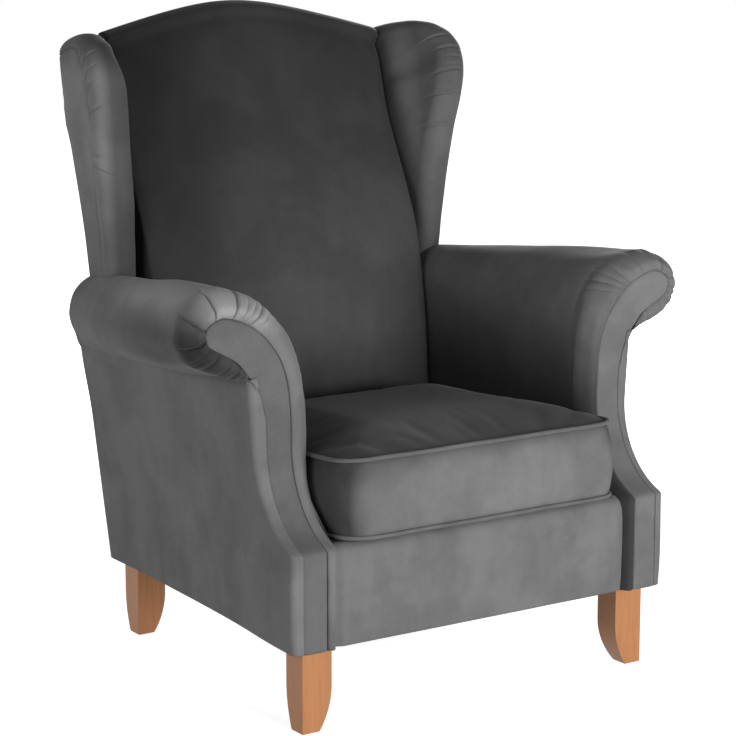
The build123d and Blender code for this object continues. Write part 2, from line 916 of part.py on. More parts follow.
with BuildPart() as right_wing_pad:
    add(wing_form(cloth, wing_pad_thickness, True))
    add(right_wing_board.part, mode=Mode.SUBTRACT)
    add(right_back_post.part, mode=Mode.SUBTRACT)
    add(crest_rail.part, mode=Mode.SUBTRACT)
right_wing_pad.part.label = "right_wing_pad"
export_step(right_wing_pad.part, "parts/right_wing_pad.step")

with BuildPart() as left_wing_pad:
    mirror(right_wing_pad.part, about=Plane.YZ)
left_wing_pad.part.label = "left_wing_pad"
export_step(left_wing_pad.part, "parts/left_wing_pad.step")

with BuildPart() as right_wing_cover:
    add(wing_form(0, wing_thickness, True))
    add(wing_form(cloth, wing_pad_thickness, True), mode=Mode.SUBTRACT)
    add(right_back_post.part, mode=Mode.SUBTRACT)
    add(crest_rail.part, mode=Mode.SUBTRACT)
right_wing_cover.part.label = "right_wing_cover"
export_step(right_wing_cover.part, "parts/right_wing_cover.step")

with BuildPart() as left_wing_cover:
    mirror(right_wing_cover.part, about=Plane.YZ)
left_wing_cover.part.label = "left_wing_cover"
export_step(left_wing_cover.part, "parts/left_wing_cover.step")

# Arm pads and covers
arm_pad_form = arm_form(cloth, arm_rear - cloth, cover_front + cloth)

with BuildPart() as right_arm_pad:
    add(arm_pad_form)
    add(right_scroll_board.part, mode=Mode.SUBTRACT)
    add(right_arm_rail.part, mode=Mode.SUBTRACT)
    add(right_back_post.part, mode=Mode.SUBTRACT)
right_arm_pad.part.label = "right_arm_pad"
export_step(right_arm_pad.part, "parts/right_arm_pad.step")

with BuildPart() as left_arm_pad:
    mirror(right_arm_pad.part, about=Plane.YZ)
left_arm_pad.part.label = "left_arm_pad"
export_step(left_arm_pad.part, "parts/left_arm_pad.step")

with BuildPart() as right_arm_cover:
    add(arm_form(0, arm_rear, cover_front))
    add(arm_pad_form, mode=Mode.SUBTRACT)
    add(right_scroll_board.part, mode=Mode.SUBTRACT)
    add(right_back_post.part, mode=Mode.SUBTRACT)
right_arm_cover.part.label = "right_arm_cover"
export_step(right_arm_cover.part, "parts/right_arm_cover.step")

with BuildPart() as left_arm_cover:
    mirror(right_arm_cover.part, about=Plane.YZ)
left_arm_cover.part.label = "left_arm_cover"
export_step(left_arm_cover.part, "parts/left_arm_cover.step")

# Facings on the fronts of the arms
with BuildPart() as right_arm_facing:
    with BuildSketch(Plane.XZ.offset(-far_front)):
        with BuildLine():
            wall = Line((facing_inner, leg_height), (facing_inner, roll_front_z - facing_wall_fall))
            rise = TangentArc(wall @ 1, from_roll(facing_shoulder), tangent=wall % 1)
            over = TangentArc(rise @ 1, from_roll(facing_crown), tangent=rise % 1)
            tip = TangentArc(over @ 1, from_roll(facing_tip), tangent=over % 1)
            turn = ThreePointArc(tip @ 1, from_roll(facing_tip_side), from_roll(facing_tip_low))
            neck = Line(turn @ 1, from_roll(facing_throat))
            outer_top = (facing_outer, roll_front_z - facing_neck_fall)
            ThreePointArc(neck @ 1, from_roll(facing_bend), outer_top)
            Polyline(
                outer_top,
                (facing_outer, leg_height),
                (facing_inner, leg_height),
            )
        make_face()
    extrude(amount=far_front - head_front - 2 * facing_thickness)
    add(front_space(0), mode=Mode.SUBTRACT)
    add(front_space(facing_thickness), mode=Mode.INTERSECT)
right_arm_facing.part.label = "right_arm_facing"
export_step(right_arm_facing.part, "parts/right_arm_facing.step")

with BuildPart() as left_arm_facing:
    mirror(right_arm_facing.part, about=Plane.YZ)
left_arm_facing.part.label = "left_arm_facing"
export_step(left_arm_facing.part, "parts/left_arm_facing.step")

# Outside arm panels, from the base up to the underside of the rolls
notch_front = roll_front_z - roll_front_radius + notch_lift
notch_rear = roll_rear_z - roll_rear_radius + notch_lift
notch_slope = (notch_rear - notch_front) / (arm_rear - head_front)


def panel_top(y):
    """Top edge of the outside arm panel at depth y, tucked under the roll."""
    return notch_front + notch_slope * (y - head_front) - notch_fall / 2


with BuildPart() as right_outside_arm:
    with BuildSketch(side_plane):
        with BuildLine():
            Polyline(
                on_side(far_front, below),
                on_side(back_y(below), below),
                on_side(back_y(notch_rear), panel_top(back_y(notch_rear))),
                on_side(far_front, panel_top(far_front)),
                close=True,
            )
        make_face()
    extrude(amount=-panel_thickness)
    split(bisect_by=floor_plane, keep=Keep.TOP)
    add(front_space(cover_front), mode=Mode.SUBTRACT)
    split(bisect_by=back_plane, keep=Keep.BOTTOM)
right_outside_arm.part.label = "right_outside_arm"
export_step(right_outside_arm.part, "parts/right_outside_arm.step")

with BuildPart() as left_outside_arm:
    mirror(right_outside_arm.part, about=Plane.YZ)
left_outside_arm.part.label = "left_outside_arm"
export_step(left_outside_arm.part, "parts/left_outside_arm.step")

# Cloth bands that wrap the front posts between the facings and the front border
band_outer = side_x(base_front + cover_front, leg_height) - panel_thickness - gap
band_rail_end = side_x(rail_front, leg_height) - frame_depth - gap

with BuildPart() as right_front_band:
    with BuildSketch(floor_plane):
        with BuildLine():
            Polyline(
                (border_half_width, base_front + cover_front),
                (band_outer, base_front + cover_front),
                (band_outer, base_front + cover_front + cloth),
                (band_rail_end, base_front + cover_front + cloth),
                (band_rail_end, rail_front - gap),
                (border_half_width, rail_front - gap),
                close=True,
            )
        make_face()
    extrude(amount=arm_low - leg_height - gap)
right_front_band.part.label = "right_front_band"
export_step(right_front_band.part, "parts/right_front_band.step")

with BuildPart() as left_front_band:
    mirror(right_front_band.part, about=Plane.YZ)
left_front_band.part.label = "left_front_band"
export_step(left_front_band.part, "parts/left_front_band.step")

# Inside back: pad and cover round the crest rail
with BuildPart() as back_pad:
    add(back_form(cloth))
    add(crest_rail.part, mode=Mode.SUBTRACT)
    add(back_webbing.part, mode=Mode.SUBTRACT)
back_pad.part.label = "back_pad"
export_step(back_pad.part, "parts/back_pad.step")

with BuildPart() as inside_back_cover:
    add(back_form(0))
    add(back_form(cloth), mode=Mode.SUBTRACT)
    add(crest_rail.part, mode=Mode.SUBTRACT)
    add(back_webbing.part, mode=Mode.SUBTRACT)
inside_back_cover.part.label = "inside_back_cover"
export_step(inside_back_cover.part, "parts/inside_back_cover.step")

# Outside back panel over the rear of the frame
outside_foot = side_x(back_foot, leg_height)
outside_crest = [share * back_half_width for share in crest_shares]

with BuildPart() as outside_back:
    with BuildSketch(back_plane.offset(gap)):
        with BuildLine():
            top = Spline(*[on_back(x, crest_z(x) - crest_round) for x in outside_crest])
            Polyline(
                top @ 0,
                on_back(-outside_shoulder, outside_shoulder_height),
                on_back(-outside_waist, outside_waist_height),
                on_back(-outside_foot, leg_height),
                on_back(outside_foot, leg_height),
                on_back(outside_waist, outside_waist_height),
                on_back(outside_shoulder, outside_shoulder_height),
                top @ 1,
            )
        make_face()
    extrude(amount=outside_back_thickness)
    split(bisect_by=floor_plane, keep=Keep.TOP)
outside_back.part.label = "outside_back"
export_step(outside_back.part, "parts/outside_back.step")

# Sinuous springs from rail to rail, with the clips that hold them
spring_height = rail_top + clip_wall + wire_radius
spring_front = rail_front + rail_thickness / 2
spring_rear = rear_rail_front + rail_thickness / 2
row_pitch = (spring_rear - spring_front) / (spring_rows - 1)
spring_middles = [(i - (spring_count - 1) / 2) * spring_spacing for i in range(spring_count)]

with BuildPart() as seat_springs:
    for middle in spring_middles:
        turns = []
        for row in range(spring_rows):
            y = spring_front + row * row_pitch
            side = spring_half_width if row % 2 else -spring_half_width
            turns.append((middle + side, y, spring_height))
            turns.append((middle - side, y, spring_height))
        with BuildLine() as wire:
            Polyline(*turns)
        with BuildSketch(Plane(origin=turns[0], z_dir=wire.line % 0)):
            RegularPolygon(wire_radius, wire_sides)
        sweep(path=wire.line, transition=Transition.RIGHT)
seat_springs.part.label = "seat_springs"
export_step(seat_springs.part, "parts/seat_springs.step")

clip_height = 2 * clip_wall + 2 * wire_radius
with BuildPart() as spring_clips:
    for middle in spring_middles:
        for y in (spring_front, spring_rear):
            with BuildSketch(Plane.YZ.offset(middle - clip_length / 2)):
                with Locations((y, rail_top + clip_height / 2)):
                    Rectangle(clip_depth, clip_height)
                    Rectangle(2 * wire_radius, 2 * wire_radius, mode=Mode.SUBTRACT)
            extrude(amount=clip_length)
spring_clips.part.label = "spring_clips"
export_step(spring_clips.part, "parts/spring_clips.step")

# Felt, foam and cloth of the deck
deck_rear = seat_level - back_crown - gap - cloth
felt_low = rail_top + clip_height + gap
foam_low = felt_low + felt_thickness + gap

with BuildPart() as spring_felt:
    with BuildSketch(Plane.XY.offset(felt_low)):
        with Locations((0, (rail_front + deck_rear) / 2)):
            Rectangle(2 * deck_half_width, deck_rear - rail_front)
    extrude(amount=felt_thickness)
spring_felt.part.label = "spring_felt"
export_step(spring_felt.part, "parts/spring_felt.step")

with BuildPart() as deck_foam:
    with BuildSketch(Plane.YZ):
        with BuildLine():
            Polyline(
                (rail_front, foam_low),
                (deck_rear, foam_low),
                (deck_rear, deck_z(deck_rear) - cloth - gap),
                (rail_front, deck_z(rail_front) - cloth - gap),
                close=True,
            )
        make_face()
    extrude(amount=deck_half_width, both=True)
deck_foam.part.label = "deck_foam"
export_step(deck_foam.part, "parts/deck_foam.step")

with BuildPart() as deck_cover:
    with BuildSketch(Plane.YZ):
        with BuildLine():
            Polyline(
                (rail_front, deck_z(rail_front)),
                (deck_rear, deck_z(deck_rear)),
                (deck_rear, deck_z(deck_rear) - cloth),
                (rail_front, deck_z(rail_front) - cloth),
                close=True,
            )
        make_face()
    extrude(amount=deck_half_width, both=True)
deck_cover.part.label = "deck_cover"
export_step(deck_cover.part, "parts/deck_cover.step")

# Front border below the cushion
border_end = border_half_width - gap
border_back = rail_front - gap


def border_profile(inset):
    """Rounded section of the border, drawn in by inset."""
    front = border_front + inset
    top = border_height - inset
    turn = border_round - inset
    bend = turn * (1 - cos(half_corner))
    with BuildLine() as line:
        Polyline((border_back, top), (border_back, leg_height), (front, leg_height), (front, top - turn))
        ThreePointArc((front, top - turn), (front + bend, top - bend), (front + turn, top))
        Line((front + turn, top), (border_back, top))
    return line.line


with BuildPart() as front_border_pad:
    with BuildSketch(Plane.YZ):
        with BuildLine():
            add(border_profile(cloth))
        make_face()
    extrude(amount=border_end, both=True)
front_border_pad.part.label = "front_border_pad"
export_step(front_border_pad.part, "parts/front_border_pad.step")

with BuildPart() as front_border_cover:
    with BuildSketch(Plane.YZ):
        with BuildLine():
            add(border_profile(0))
        make_face()
    extrude(amount=border_end, both=True)
    add(front_border_pad.part, mode=Mode.SUBTRACT)
front_border_cover.part.label = "front_border_cover"
export_step(front_border_cover.part, "parts/front_border_cover.step")

# Dust cover under the seat frame, cut out round the legs
dust_front = base_front + cover_front + dust_inset
dust_rear = back_foot - dust_inset
legs = (right_front_leg, left_front_leg, right_rear_leg, left_rear_leg)

with BuildPart() as dust_cover:
    with BuildSketch(Plane.XY.offset(leg_height - gap)):
        with BuildLine():
            Polyline(
                (side_x(dust_front, leg_height) - dust_inset, dust_front),
                (side_x(dust_rear, leg_height) - dust_inset, dust_rear),
                (dust_inset - side_x(dust_rear, leg_height), dust_rear),
                (dust_inset - side_x(dust_front, leg_height), dust_front),
                close=True,
            )
        make_face()
        for leg in legs:
            box = leg.part.bounding_box()
            with Locations((box.center().X, box.center().Y)):
                Rectangle(box.size.X + 2 * gap, box.size.Y + 2 * gap, mode=Mode.SUBTRACT)
    extrude(amount=-dust_thickness)
dust_cover.part.label = "dust_cover"
export_step(dust_cover.part, "parts/dust_cover.step")

# Loose seat cushion
with BuildPart() as cushion_piping_top:
    add(piping_ring(cushion_box))
cushion_piping_top.part.label = "cushion_piping_top"
export_step(cushion_piping_top.part, "parts/cushion_piping_top.step")

with BuildPart() as cushion_piping_bottom:
    add(piping_ring(piping_radius))
cushion_piping_bottom.part.label = "cushion_piping_bottom"
export_step(cushion_piping_bottom.part, "parts/cushion_piping_bottom.step")

with BuildPart() as cushion_zip:
    with BuildSketch(seat_plane.offset(cushion_box / 2 - zip_height / 2)):
        with Locations((0, cushion_rear + cushion_bulge + zip_proud - cloth / 2)):
            Rectangle(zip_length, cloth)
    extrude(amount=zip_height)
cushion_zip.part.label = "cushion_zip"
export_step(cushion_zip.part, "parts/cushion_zip.step")

with BuildPart() as cushion_core:
    add(cushion_form(cloth))
cushion_core.part.label = "cushion_core"
export_step(cushion_core.part, "parts/cushion_core.step")

with BuildPart() as cushion_cover:
    add(cushion_form(0))
    add(cushion_form(cloth), mode=Mode.SUBTRACT)
    add(cushion_zip.part, mode=Mode.SUBTRACT)
cushion_cover.part.label = "cushion_cover"
export_step(cushion_cover.part, "parts/cushion_cover.step")
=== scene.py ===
import json
from math import atan2, cos, exp, hypot, pi, radians, sin, sqrt, tan

import bmesh
import bpy
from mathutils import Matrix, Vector, noise


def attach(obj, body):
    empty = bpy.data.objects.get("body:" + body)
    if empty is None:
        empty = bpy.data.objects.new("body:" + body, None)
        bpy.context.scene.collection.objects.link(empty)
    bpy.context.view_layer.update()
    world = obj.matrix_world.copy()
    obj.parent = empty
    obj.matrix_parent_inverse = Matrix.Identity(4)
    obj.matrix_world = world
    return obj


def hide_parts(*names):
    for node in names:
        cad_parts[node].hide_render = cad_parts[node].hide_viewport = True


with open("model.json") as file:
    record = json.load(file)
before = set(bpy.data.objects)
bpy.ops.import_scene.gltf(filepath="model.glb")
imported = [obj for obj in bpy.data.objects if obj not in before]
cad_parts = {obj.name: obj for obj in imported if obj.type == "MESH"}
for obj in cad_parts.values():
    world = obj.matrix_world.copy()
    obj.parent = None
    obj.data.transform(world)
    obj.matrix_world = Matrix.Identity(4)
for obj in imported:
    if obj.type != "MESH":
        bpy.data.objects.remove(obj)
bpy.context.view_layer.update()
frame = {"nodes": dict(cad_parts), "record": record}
nodes = frame["nodes"]
scene = bpy.context.scene
print("frame loaded,", len(nodes), "nodes")


# small tools

def ease(low, high, value):
    share = min(max((value - low) / (high - low), 0.0), 1.0)
    return share * share * (3 - 2 * share)


def between(first, last, share):
    return first + (last - first) * share


def waver(across, along, seed):
    return noise.noise(Vector((across, along, seed)))


def bump(value, middle, width):
    return exp(-((value - middle) / width) ** 2)


def curveAt(points, t):
    # smooth curve through the points, t counts points
    last = len(points) - 1
    t = min(max(t, 0.0), float(last))
    i = min(int(t), last - 1)
    f = t - i
    b, c = points[i], points[i + 1]
    a = points[i - 1] if i else [2 * p - q for p, q in zip(b, c)]
    d = points[i + 2] if i + 2 <= last else [2 * q - p for p, q in zip(b, c)]
    return [
        0.5 * (2 * q + (r - p) * f + (2 * p - 5 * q + 4 * r - s) * f * f + (3 * q - p - 3 * r + s) * f ** 3)
        for p, q, r, s in zip(a, b, c, d)
    ]


def evenSteps(points, count, weight=None):
    # values of t that lie evenly along the curve, closer together where the weight is higher
    fine = 40 * (len(points) - 1)
    spots = [curveAt(points, i * (len(points) - 1) / fine) for i in range(fine + 1)]
    run = [0.0]
    for i, (p, q) in enumerate(zip(spots, spots[1:])):
        part = sqrt(sum((m - n) ** 2 for m, n in zip(p, q)))
        run.append(run[-1] + part * (weight(i / 40) if weight else 1.0))
    steps, i = [], 0
    for k in range(count + 1):
        goal = run[-1] * k / count
        while i < fine - 1 and run[i + 1] < goal:
            i += 1
        part = (goal - run[i]) / max(run[i + 1] - run[i], 1e-9)
        steps.append((i + part) * (len(points) - 1) / fine)
    return steps


def newObject(name, data):
    item = bpy.data.objects.new(name, data)
    scene.collection.objects.link(item)
    return item


def asMesh(item):
    # the mesh with its modifiers applied
    return bpy.data.meshes.new_from_object(item.evaluated_get(bpy.context.evaluated_depsgraph_get()))


def faceOutwards(shape, inside):
    bmesh.ops.recalc_face_normals(shape, faces=shape.faces)
    shape.normal_update()
    lean = sum((f.calc_center_median() - inside).dot(f.normal) * f.calc_area() for f in shape.faces)
    if lean < 0:
        bmesh.ops.reverse_faces(shape, faces=shape.faces)


def makePiece(name, shape, inside=None, mirrored=False, smooth=True):
    if mirrored:
        bmesh.ops.scale(shape, vec=(-1, 1, 1), verts=shape.verts)
        inside = Vector((-inside.x, inside.y, inside.z)) if inside else None
    bmesh.ops.remove_doubles(shape, verts=shape.verts, dist=0.00002)
    if inside:
        faceOutwards(shape, inside)
    else:
        bmesh.ops.recalc_face_normals(shape, faces=shape.faces)
    mesh = bpy.data.meshes.new(name)
    shape.to_mesh(mesh)
    shape.free()
    mesh.polygons.foreach_set("use_smooth", [smooth] * len(mesh.polygons))
    return newObject(name, mesh)


def makeCover(name, look, place, inside, mirrored=False):
    # cloth on a grid whose points are laid out by a rule of their column and row
    shape = bmesh.new()
    across, along = look["columns"], look["rows"]
    bmesh.ops.create_grid(shape, x_segments=across, y_segments=along, size=0.5)
    for corner in shape.verts:
        column = round((corner.co.x + 0.5) * across)
        row = round((corner.co.y + 0.5) * along)
        corner.co = place(column, row)
    piece = makePiece(name, shape, Vector(inside), mirrored)
    wall = piece.modifiers.new("cloth", "SOLIDIFY")
    wall.thickness = look["cloth"]
    wall.offset = -1
    return piece


def nodeShape(*names):
    shape = bmesh.new()
    for name in names:
        shape.from_mesh(nodes[name].data)
    bmesh.ops.remove_doubles(shape, verts=shape.verts, dist=0.00002)
    bmesh.ops.dissolve_limit(shape, angle_limit=radians(2), verts=shape.verts, edges=shape.edges)
    return shape


def easeEdges(shape, width, segments, sharpness):
    edges = [e for e in shape.edges if len(e.link_faces) == 2 and e.calc_face_angle() > sharpness]
    bmesh.ops.bevel(
        shape, geom=edges, offset=width, offset_type="OFFSET", segments=segments, profile=0.5,
        affect="EDGES", clamp_overlap=True, material=-1,
    )


def dressPiece(piece, material, *replaced, slot="velvet", body="chair"):
    piece.data.materials.clear()
    piece.data.materials.append(material)
    if replaced:
        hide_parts(*replaced)
    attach(piece, body)


# shader maths

class Wire:
    def __init__(self, kit, socket):
        self.kit, self.socket = kit, socket

    def maths(self, operation, first, second):
        return self.kit.add("Math", {"operation": operation}, {0: first, 1: second})

    def __add__(self, other):
        return self.maths("ADD", self, other)

    def __radd__(self, other):
        return self.maths("ADD", other, self)

    def __sub__(self, other):
        return self.maths("SUBTRACT", self, other)

    def __rsub__(self, other):
        return self.maths("SUBTRACT", other, self)

    def __mul__(self, other):
        return self.maths("MULTIPLY", self, other)

    def __rmul__(self, other):
        return self.maths("MULTIPLY", other, self)


class Finish:
    def __init__(self, name, owners=bpy.data.materials):
        self.owner = owners.new(name)
        self.owner.use_nodes = True
        self.tree = self.owner.node_tree
        self.tree.nodes.clear()

    def add(self, kind, settings=None, inputs=None, output=0):
        node = self.tree.nodes.new("ShaderNode" + kind)
        for key, value in (settings or {}).items():
            if key == "stops":
                while len(node.color_ramp.elements) < len(value):
                    node.color_ramp.elements.new(0.5)
                for stop, (place, colour) in zip(node.color_ramp.elements, value):
                    stop.position, stop.color = place, colour
            else:
                setattr(node, key, value)
        for key, value in (inputs or {}).items():
            if isinstance(value, Wire):
                self.tree.links.new(value.socket, node.inputs[key])
            else:
                node.inputs[key].default_value = value
        return Wire(self, node.outputs[output]) if node.outputs else None

    def place(self, scale=(1, 1, 1), turn=(0, 0, 0)):
        where = self.add("TexCoord", output=3)
        return self.add("Mapping", None, {"Vector": where, "Scale": scale, "Rotation": turn})

    def clouds(self, scale, detail, roughness, where):
        inputs = {"Vector": where, "Scale": scale, "Detail": detail, "Roughness": roughness}
        return self.add("TexNoise", None, inputs)

    def ramp(self, value, start, end, first=0.0, last=1.0):
        inputs = {"Value": value, "From Min": start, "From Max": end, "To Min": first, "To Max": last}
        return self.add("MapRange", {"interpolation_type": "SMOOTHSTEP"}, inputs)

    def rampAlong(self, direction, *ends):
        inputs = {0: self.add("TexCoord", output=3), 1: direction}
        return self.ramp(self.add("VectorMath", {"operation": "DOT_PRODUCT"}, inputs, output=1), *ends)

    def bumps(self, height, strength, distance):
        return self.add("Bump", None, {"Height": height, "Strength": strength, "Distance": distance})

    def blendColour(self, dark, light, share):
        ends = {"Factor": share, 6: (*dark, 1), 7: (*light, 1)}
        return self.add("Mix", {"data_type": "RGBA"}, ends, output=2)

    def seenDirectly(self):
        # by the camera itself, or by way of a mirror or glass
        names = ("Is Camera Ray", "Is Glossy Ray", "Is Transmission Ray")
        first, *others = [self.add("LightPath", output=name) for name in names]
        return sum(others, first)

    def surface(self, colour, roughness, normal, fixed):
        inputs = {"Base Color": colour, "Roughness": roughness, "Normal": normal}
        inputs.update(fixed)
        shade = self.add("BsdfPrincipled", None, inputs)
        self.add("OutputMaterial", None, {"Surface": shade})
        return self.owner


# finishes

velvetLook = {
    "grey": (0.165, 0.165, 0.167), "sheen": 0.10, "sheenTint": (0.75, 0.75, 0.77, 1), "shine": 0.10,
    "roughness": 0.8, "roughMarks": 0.25, "bump": 0.22, "bumpHeight": 0.0018,
    "plain": 0.5,  # place of the plain tone between black and the lightest pile
    # share in the tone, and scale, detail and roughness of the clouds
    "patches": 0.18, "patchCloud": (9.0, 2.5, 0.5), "patchEdge": (0.40, 0.62),
    "marks": 0.36, "markCloud": (34.0, 4.0, 0.6),
    "streaks": 0.26, "streakCloud": (26.0, 3.0, 0.6), "streakScale": (1.0, 1.0, 0.22),
    "grain": 0.34, "grainCloud": (620.0, 2.0, 0.5),
}
velvets = {}


def makeVelvet(name, tone, *paintedShades, turn=(0.0, 0.0, 0.0), paintedShadow=()):
    # patches where the pile lies over, brush marks, streaks and a fine grain
    # a shade paints light and shade into the colour along one direction: direction, start and end along it,
    # tone at the start and the end
    # a painted shadow darkens a region: how much, then each direction that bounds it, with its start and end
    kit = Finish("velvet_" + name)
    patches = kit.ramp(kit.clouds(*velvetLook["patchCloud"], kit.place()), *velvetLook["patchEdge"])
    marks = kit.clouds(*velvetLook["markCloud"], kit.place())
    streaks = kit.clouds(*velvetLook["streakCloud"], kit.place(velvetLook["streakScale"], turn))
    grain = kit.clouds(*velvetLook["grainCloud"], kit.place())
    plainWithPaintedShade = velvetLook["plain"]
    # painted light and shade: the plain tone is scaled by each shade and then by the painted shadow
    for shade in paintedShades:
        plainWithPaintedShade = plainWithPaintedShade * kit.rampAlong(*shade)
    if paintedShadow:
        inside = paintedShadow[0]
        for bound in paintedShadow[1:]:
            inside = inside * kit.rampAlong(*bound)
        plainWithPaintedShade = plainWithPaintedShade * (1 - inside)
    pile = (
        1 + (patches - 0.5) * velvetLook["patches"] + (marks - 0.5) * velvetLook["marks"]
        + (streaks - 0.5) * velvetLook["streaks"] + (grain - 0.5) * velvetLook["grain"]
    )
    lightest = [c * tone / velvetLook["plain"] for c in velvetLook["grey"]]
    rough = velvetLook["roughness"] + (marks - 0.5) * velvetLook["roughMarks"]
    normal = kit.bumps(grain * 0.3 + marks * 0.7, velvetLook["bump"], velvetLook["bumpHeight"])
    velvets[name] = kit.surface(kit.blendColour((0, 0, 0), lightest, pile * plainWithPaintedShade), rough, normal, {
        "Sheen Weight": velvetLook["sheen"], "Sheen Roughness": 0.4, "Sheen Tint": velvetLook["sheenTint"],
        "Specular IOR Level": velvetLook["shine"],
    })


woodLook = {  # light and dark grain, roughness, coat
    "beech_lacquered": ((0.50, 0.218, 0.083), (0.36, 0.142, 0.050), 0.38, 0.12),
    "beech_sawn": ((0.62, 0.43, 0.24), (0.47, 0.30, 0.15), 0.7, 0.0),
}


def makeWood(name, light, dark, roughness, coat):
    # beech: straight grain along the piece, short dark flecks, a satin lacquer
    kit = Finish(name)
    grain = kit.clouds(9.0, 5.0, 0.62, kit.place((16, 16, 1.0)))
    bands = kit.clouds(3.2, 2.0, 0.5, kit.place((7, 7, 0.7)))
    flecks = kit.clouds(150.0, 2.0, 0.4, kit.place((3.0, 3.0, 0.22)))
    stops = [(0.60, (0, 0, 0, 1)), (0.70, (1, 1, 1, 1))]
    fleckMask = kit.add("ValToRGB", {"stops": stops}, {"Fac": flecks})
    share = 0.5 + (grain - 0.5) * 1.3 + (bands - 0.5) * 0.8 - fleckMask * 0.32
    rough = roughness + (grain - 0.5) * 0.16
    normal = kit.bumps(grain - fleckMask * 0.5, 0.12, 0.0007)
    return kit.surface(
        kit.blendColour(dark, light, share), rough, normal,
        {"Coat Weight": coat, "Coat Roughness": 0.25, "Specular IOR Level": 0.3},
    )


wovenLook = {  # dark and light thread, scale of the threads, depth of the weave
    "lining_black": ((0.010, 0.010, 0.010), (0.045, 0.045, 0.046), 420.0, 0.35),
    "webbing_jute": ((0.24, 0.17, 0.08), (0.52, 0.41, 0.24), 240.0, 0.6),
    "felt_grey": ((0.20, 0.19, 0.17), (0.42, 0.40, 0.36), 90.0, 0.3),
    "zip_tape": ((0.02, 0.02, 0.02), (0.08, 0.08, 0.08), 500.0, 0.5),
}


def makeWoven(name, dark, light, scale, strength):
    # plain weave, with threads along each axis so that every side shows two sets
    kit = Finish(name)
    waves = []
    for way in ("X", "Y", "Z"):
        inputs = {"Vector": kit.place(), "Scale": scale, "Distortion": 1.2, "Detail": 1.0}
        waves.append(kit.add("TexWave", {"wave_type": "BANDS", "bands_direction": way}, inputs))
    fluff = kit.clouds(60.0, 3.0, 0.6, kit.place())
    threads = sum(waves[1:], waves[0]) * 0.28 + fluff * 0.3
    normal = kit.bumps(threads, strength, 0.0008)
    return kit.surface(
        kit.blendColour(dark, light, threads), 0.86 + (fluff - 0.5) * 0.1, normal,
        {"Specular IOR Level": 0.2},
    )


foamLook = {"dark": (0.62, 0.55, 0.36), "light": (0.86, 0.80, 0.62), "cells": 420.0}


def makeFoam(name):
    kit = Finish(name)
    cells = kit.add("TexVoronoi", None, {"Vector": kit.place(), "Scale": foamLook["cells"]})
    clouds = kit.clouds(14.0, 3.0, 0.5, kit.place())
    share = clouds * 0.6 + cells * 0.5
    normal = kit.bumps(cells, 0.25, 0.001)
    return kit.surface(
        kit.blendColour(foamLook["dark"], foamLook["light"], share), 0.9 - cells * 0.1, normal,
        {"Specular IOR Level": 0.2},
    )


steelLook = {"dark": (0.38, 0.38, 0.40), "light": (0.62, 0.62, 0.63)}


def makeSteel(name):
    kit = Finish(name)
    marks = kit.clouds(40.0, 4.0, 0.6, kit.place((1, 1, 6)))
    spots = kit.clouds(220.0, 2.0, 0.5, kit.place())
    normal = kit.bumps(spots, 0.08, 0.0004)
    return kit.surface(
        kit.blendColour(steelLook["dark"], steelLook["light"], marks), 0.3 + marks * 0.25, normal,
        {"Metallic": 1.0},
    )


rightwards, rearwards, upwards = (1, 0, 0), (0, 1, 0), (0, 0, 1)
leftwards, forwards, downwards = (-1, 0, 0), (0, -1, 0), (0, 0, -1)
wingOut = (-0.976, 0.209, -0.063)  # square to the outer side of the left wing
# the velvet in lit and shaded copies, one for each piece: the tones and shade ramps below paint light and
# shade into the colour. Right arm: painted shade, darker towards the back and low on the inside wall where
# the left arm shades it
makeVelvet(
    "arm_right", 0.86, (rearwards, -0.25, 0.10, 1.0, 0.75), (upwards, 0.42, 0.60, 0.30, 1.0),
)
# left arm: painted shade on the tip and underside of the head, a painted highlight along the top of the roll,
# and a painted shadow under the front of the head
makeVelvet(
    "arm_left", 0.95, ((1, 0, 0.3), -0.285, -0.215, 0.46, 1.0), (upwards, 0.605, 0.665, 1.0, 2.3),
    paintedShadow=(0.66, (leftwards, 0.355, 0.385), (downwards, -0.662, -0.600), (forwards, 0.215, 0.250)),
)
# painted shade: the facings darker towards the left
makeVelvet("facing", 0.97, (rightwards, -0.30, 0.30, 0.76, 1.0))
makeVelvet("outside", 1.0, turn=(0.5, 0.0, 0.0))
# right wing: painted shade, darker at the top, and a painted shadow on its inner face along the inside back
makeVelvet(
    "wing_right", 0.76, (upwards, 0.90, 1.03, 1.0, 0.84),
    paintedShadow=(0.66, ((0, 1, -0.35), -0.062, -0.012), (leftwards, -0.312, -0.276)),
)
# left wing: painted light, the outer side lighter where the side lamp falls and the front darker, with
# painted shade low down and at the top
makeVelvet(
    "wing_left", 0.78, (wingOut, 0.318, 0.344, 0.68, 1.60), (upwards, 0.66, 0.86, 0.76, 1.0),
    (upwards, 0.96, 1.03, 1.0, 0.6),
)
# inside back: painted shade, a dark tone, darker towards the top and on the left where the left wing shades
# it, and lighter where the cloth runs down behind the crest
makeVelvet(
    "back", 0.42, (upwards, 0.55, 1.05, 1.0, 0.50), (rightwards, -0.26, 0.0, 0.48, 1.0),
    (rearwards, 0.364, 0.384, 1.0, 3.0),
)
# painted shade: the border darker towards the left
makeVelvet("border", 0.97, (rightwards, -0.28, 0.20, 0.95, 1.0))
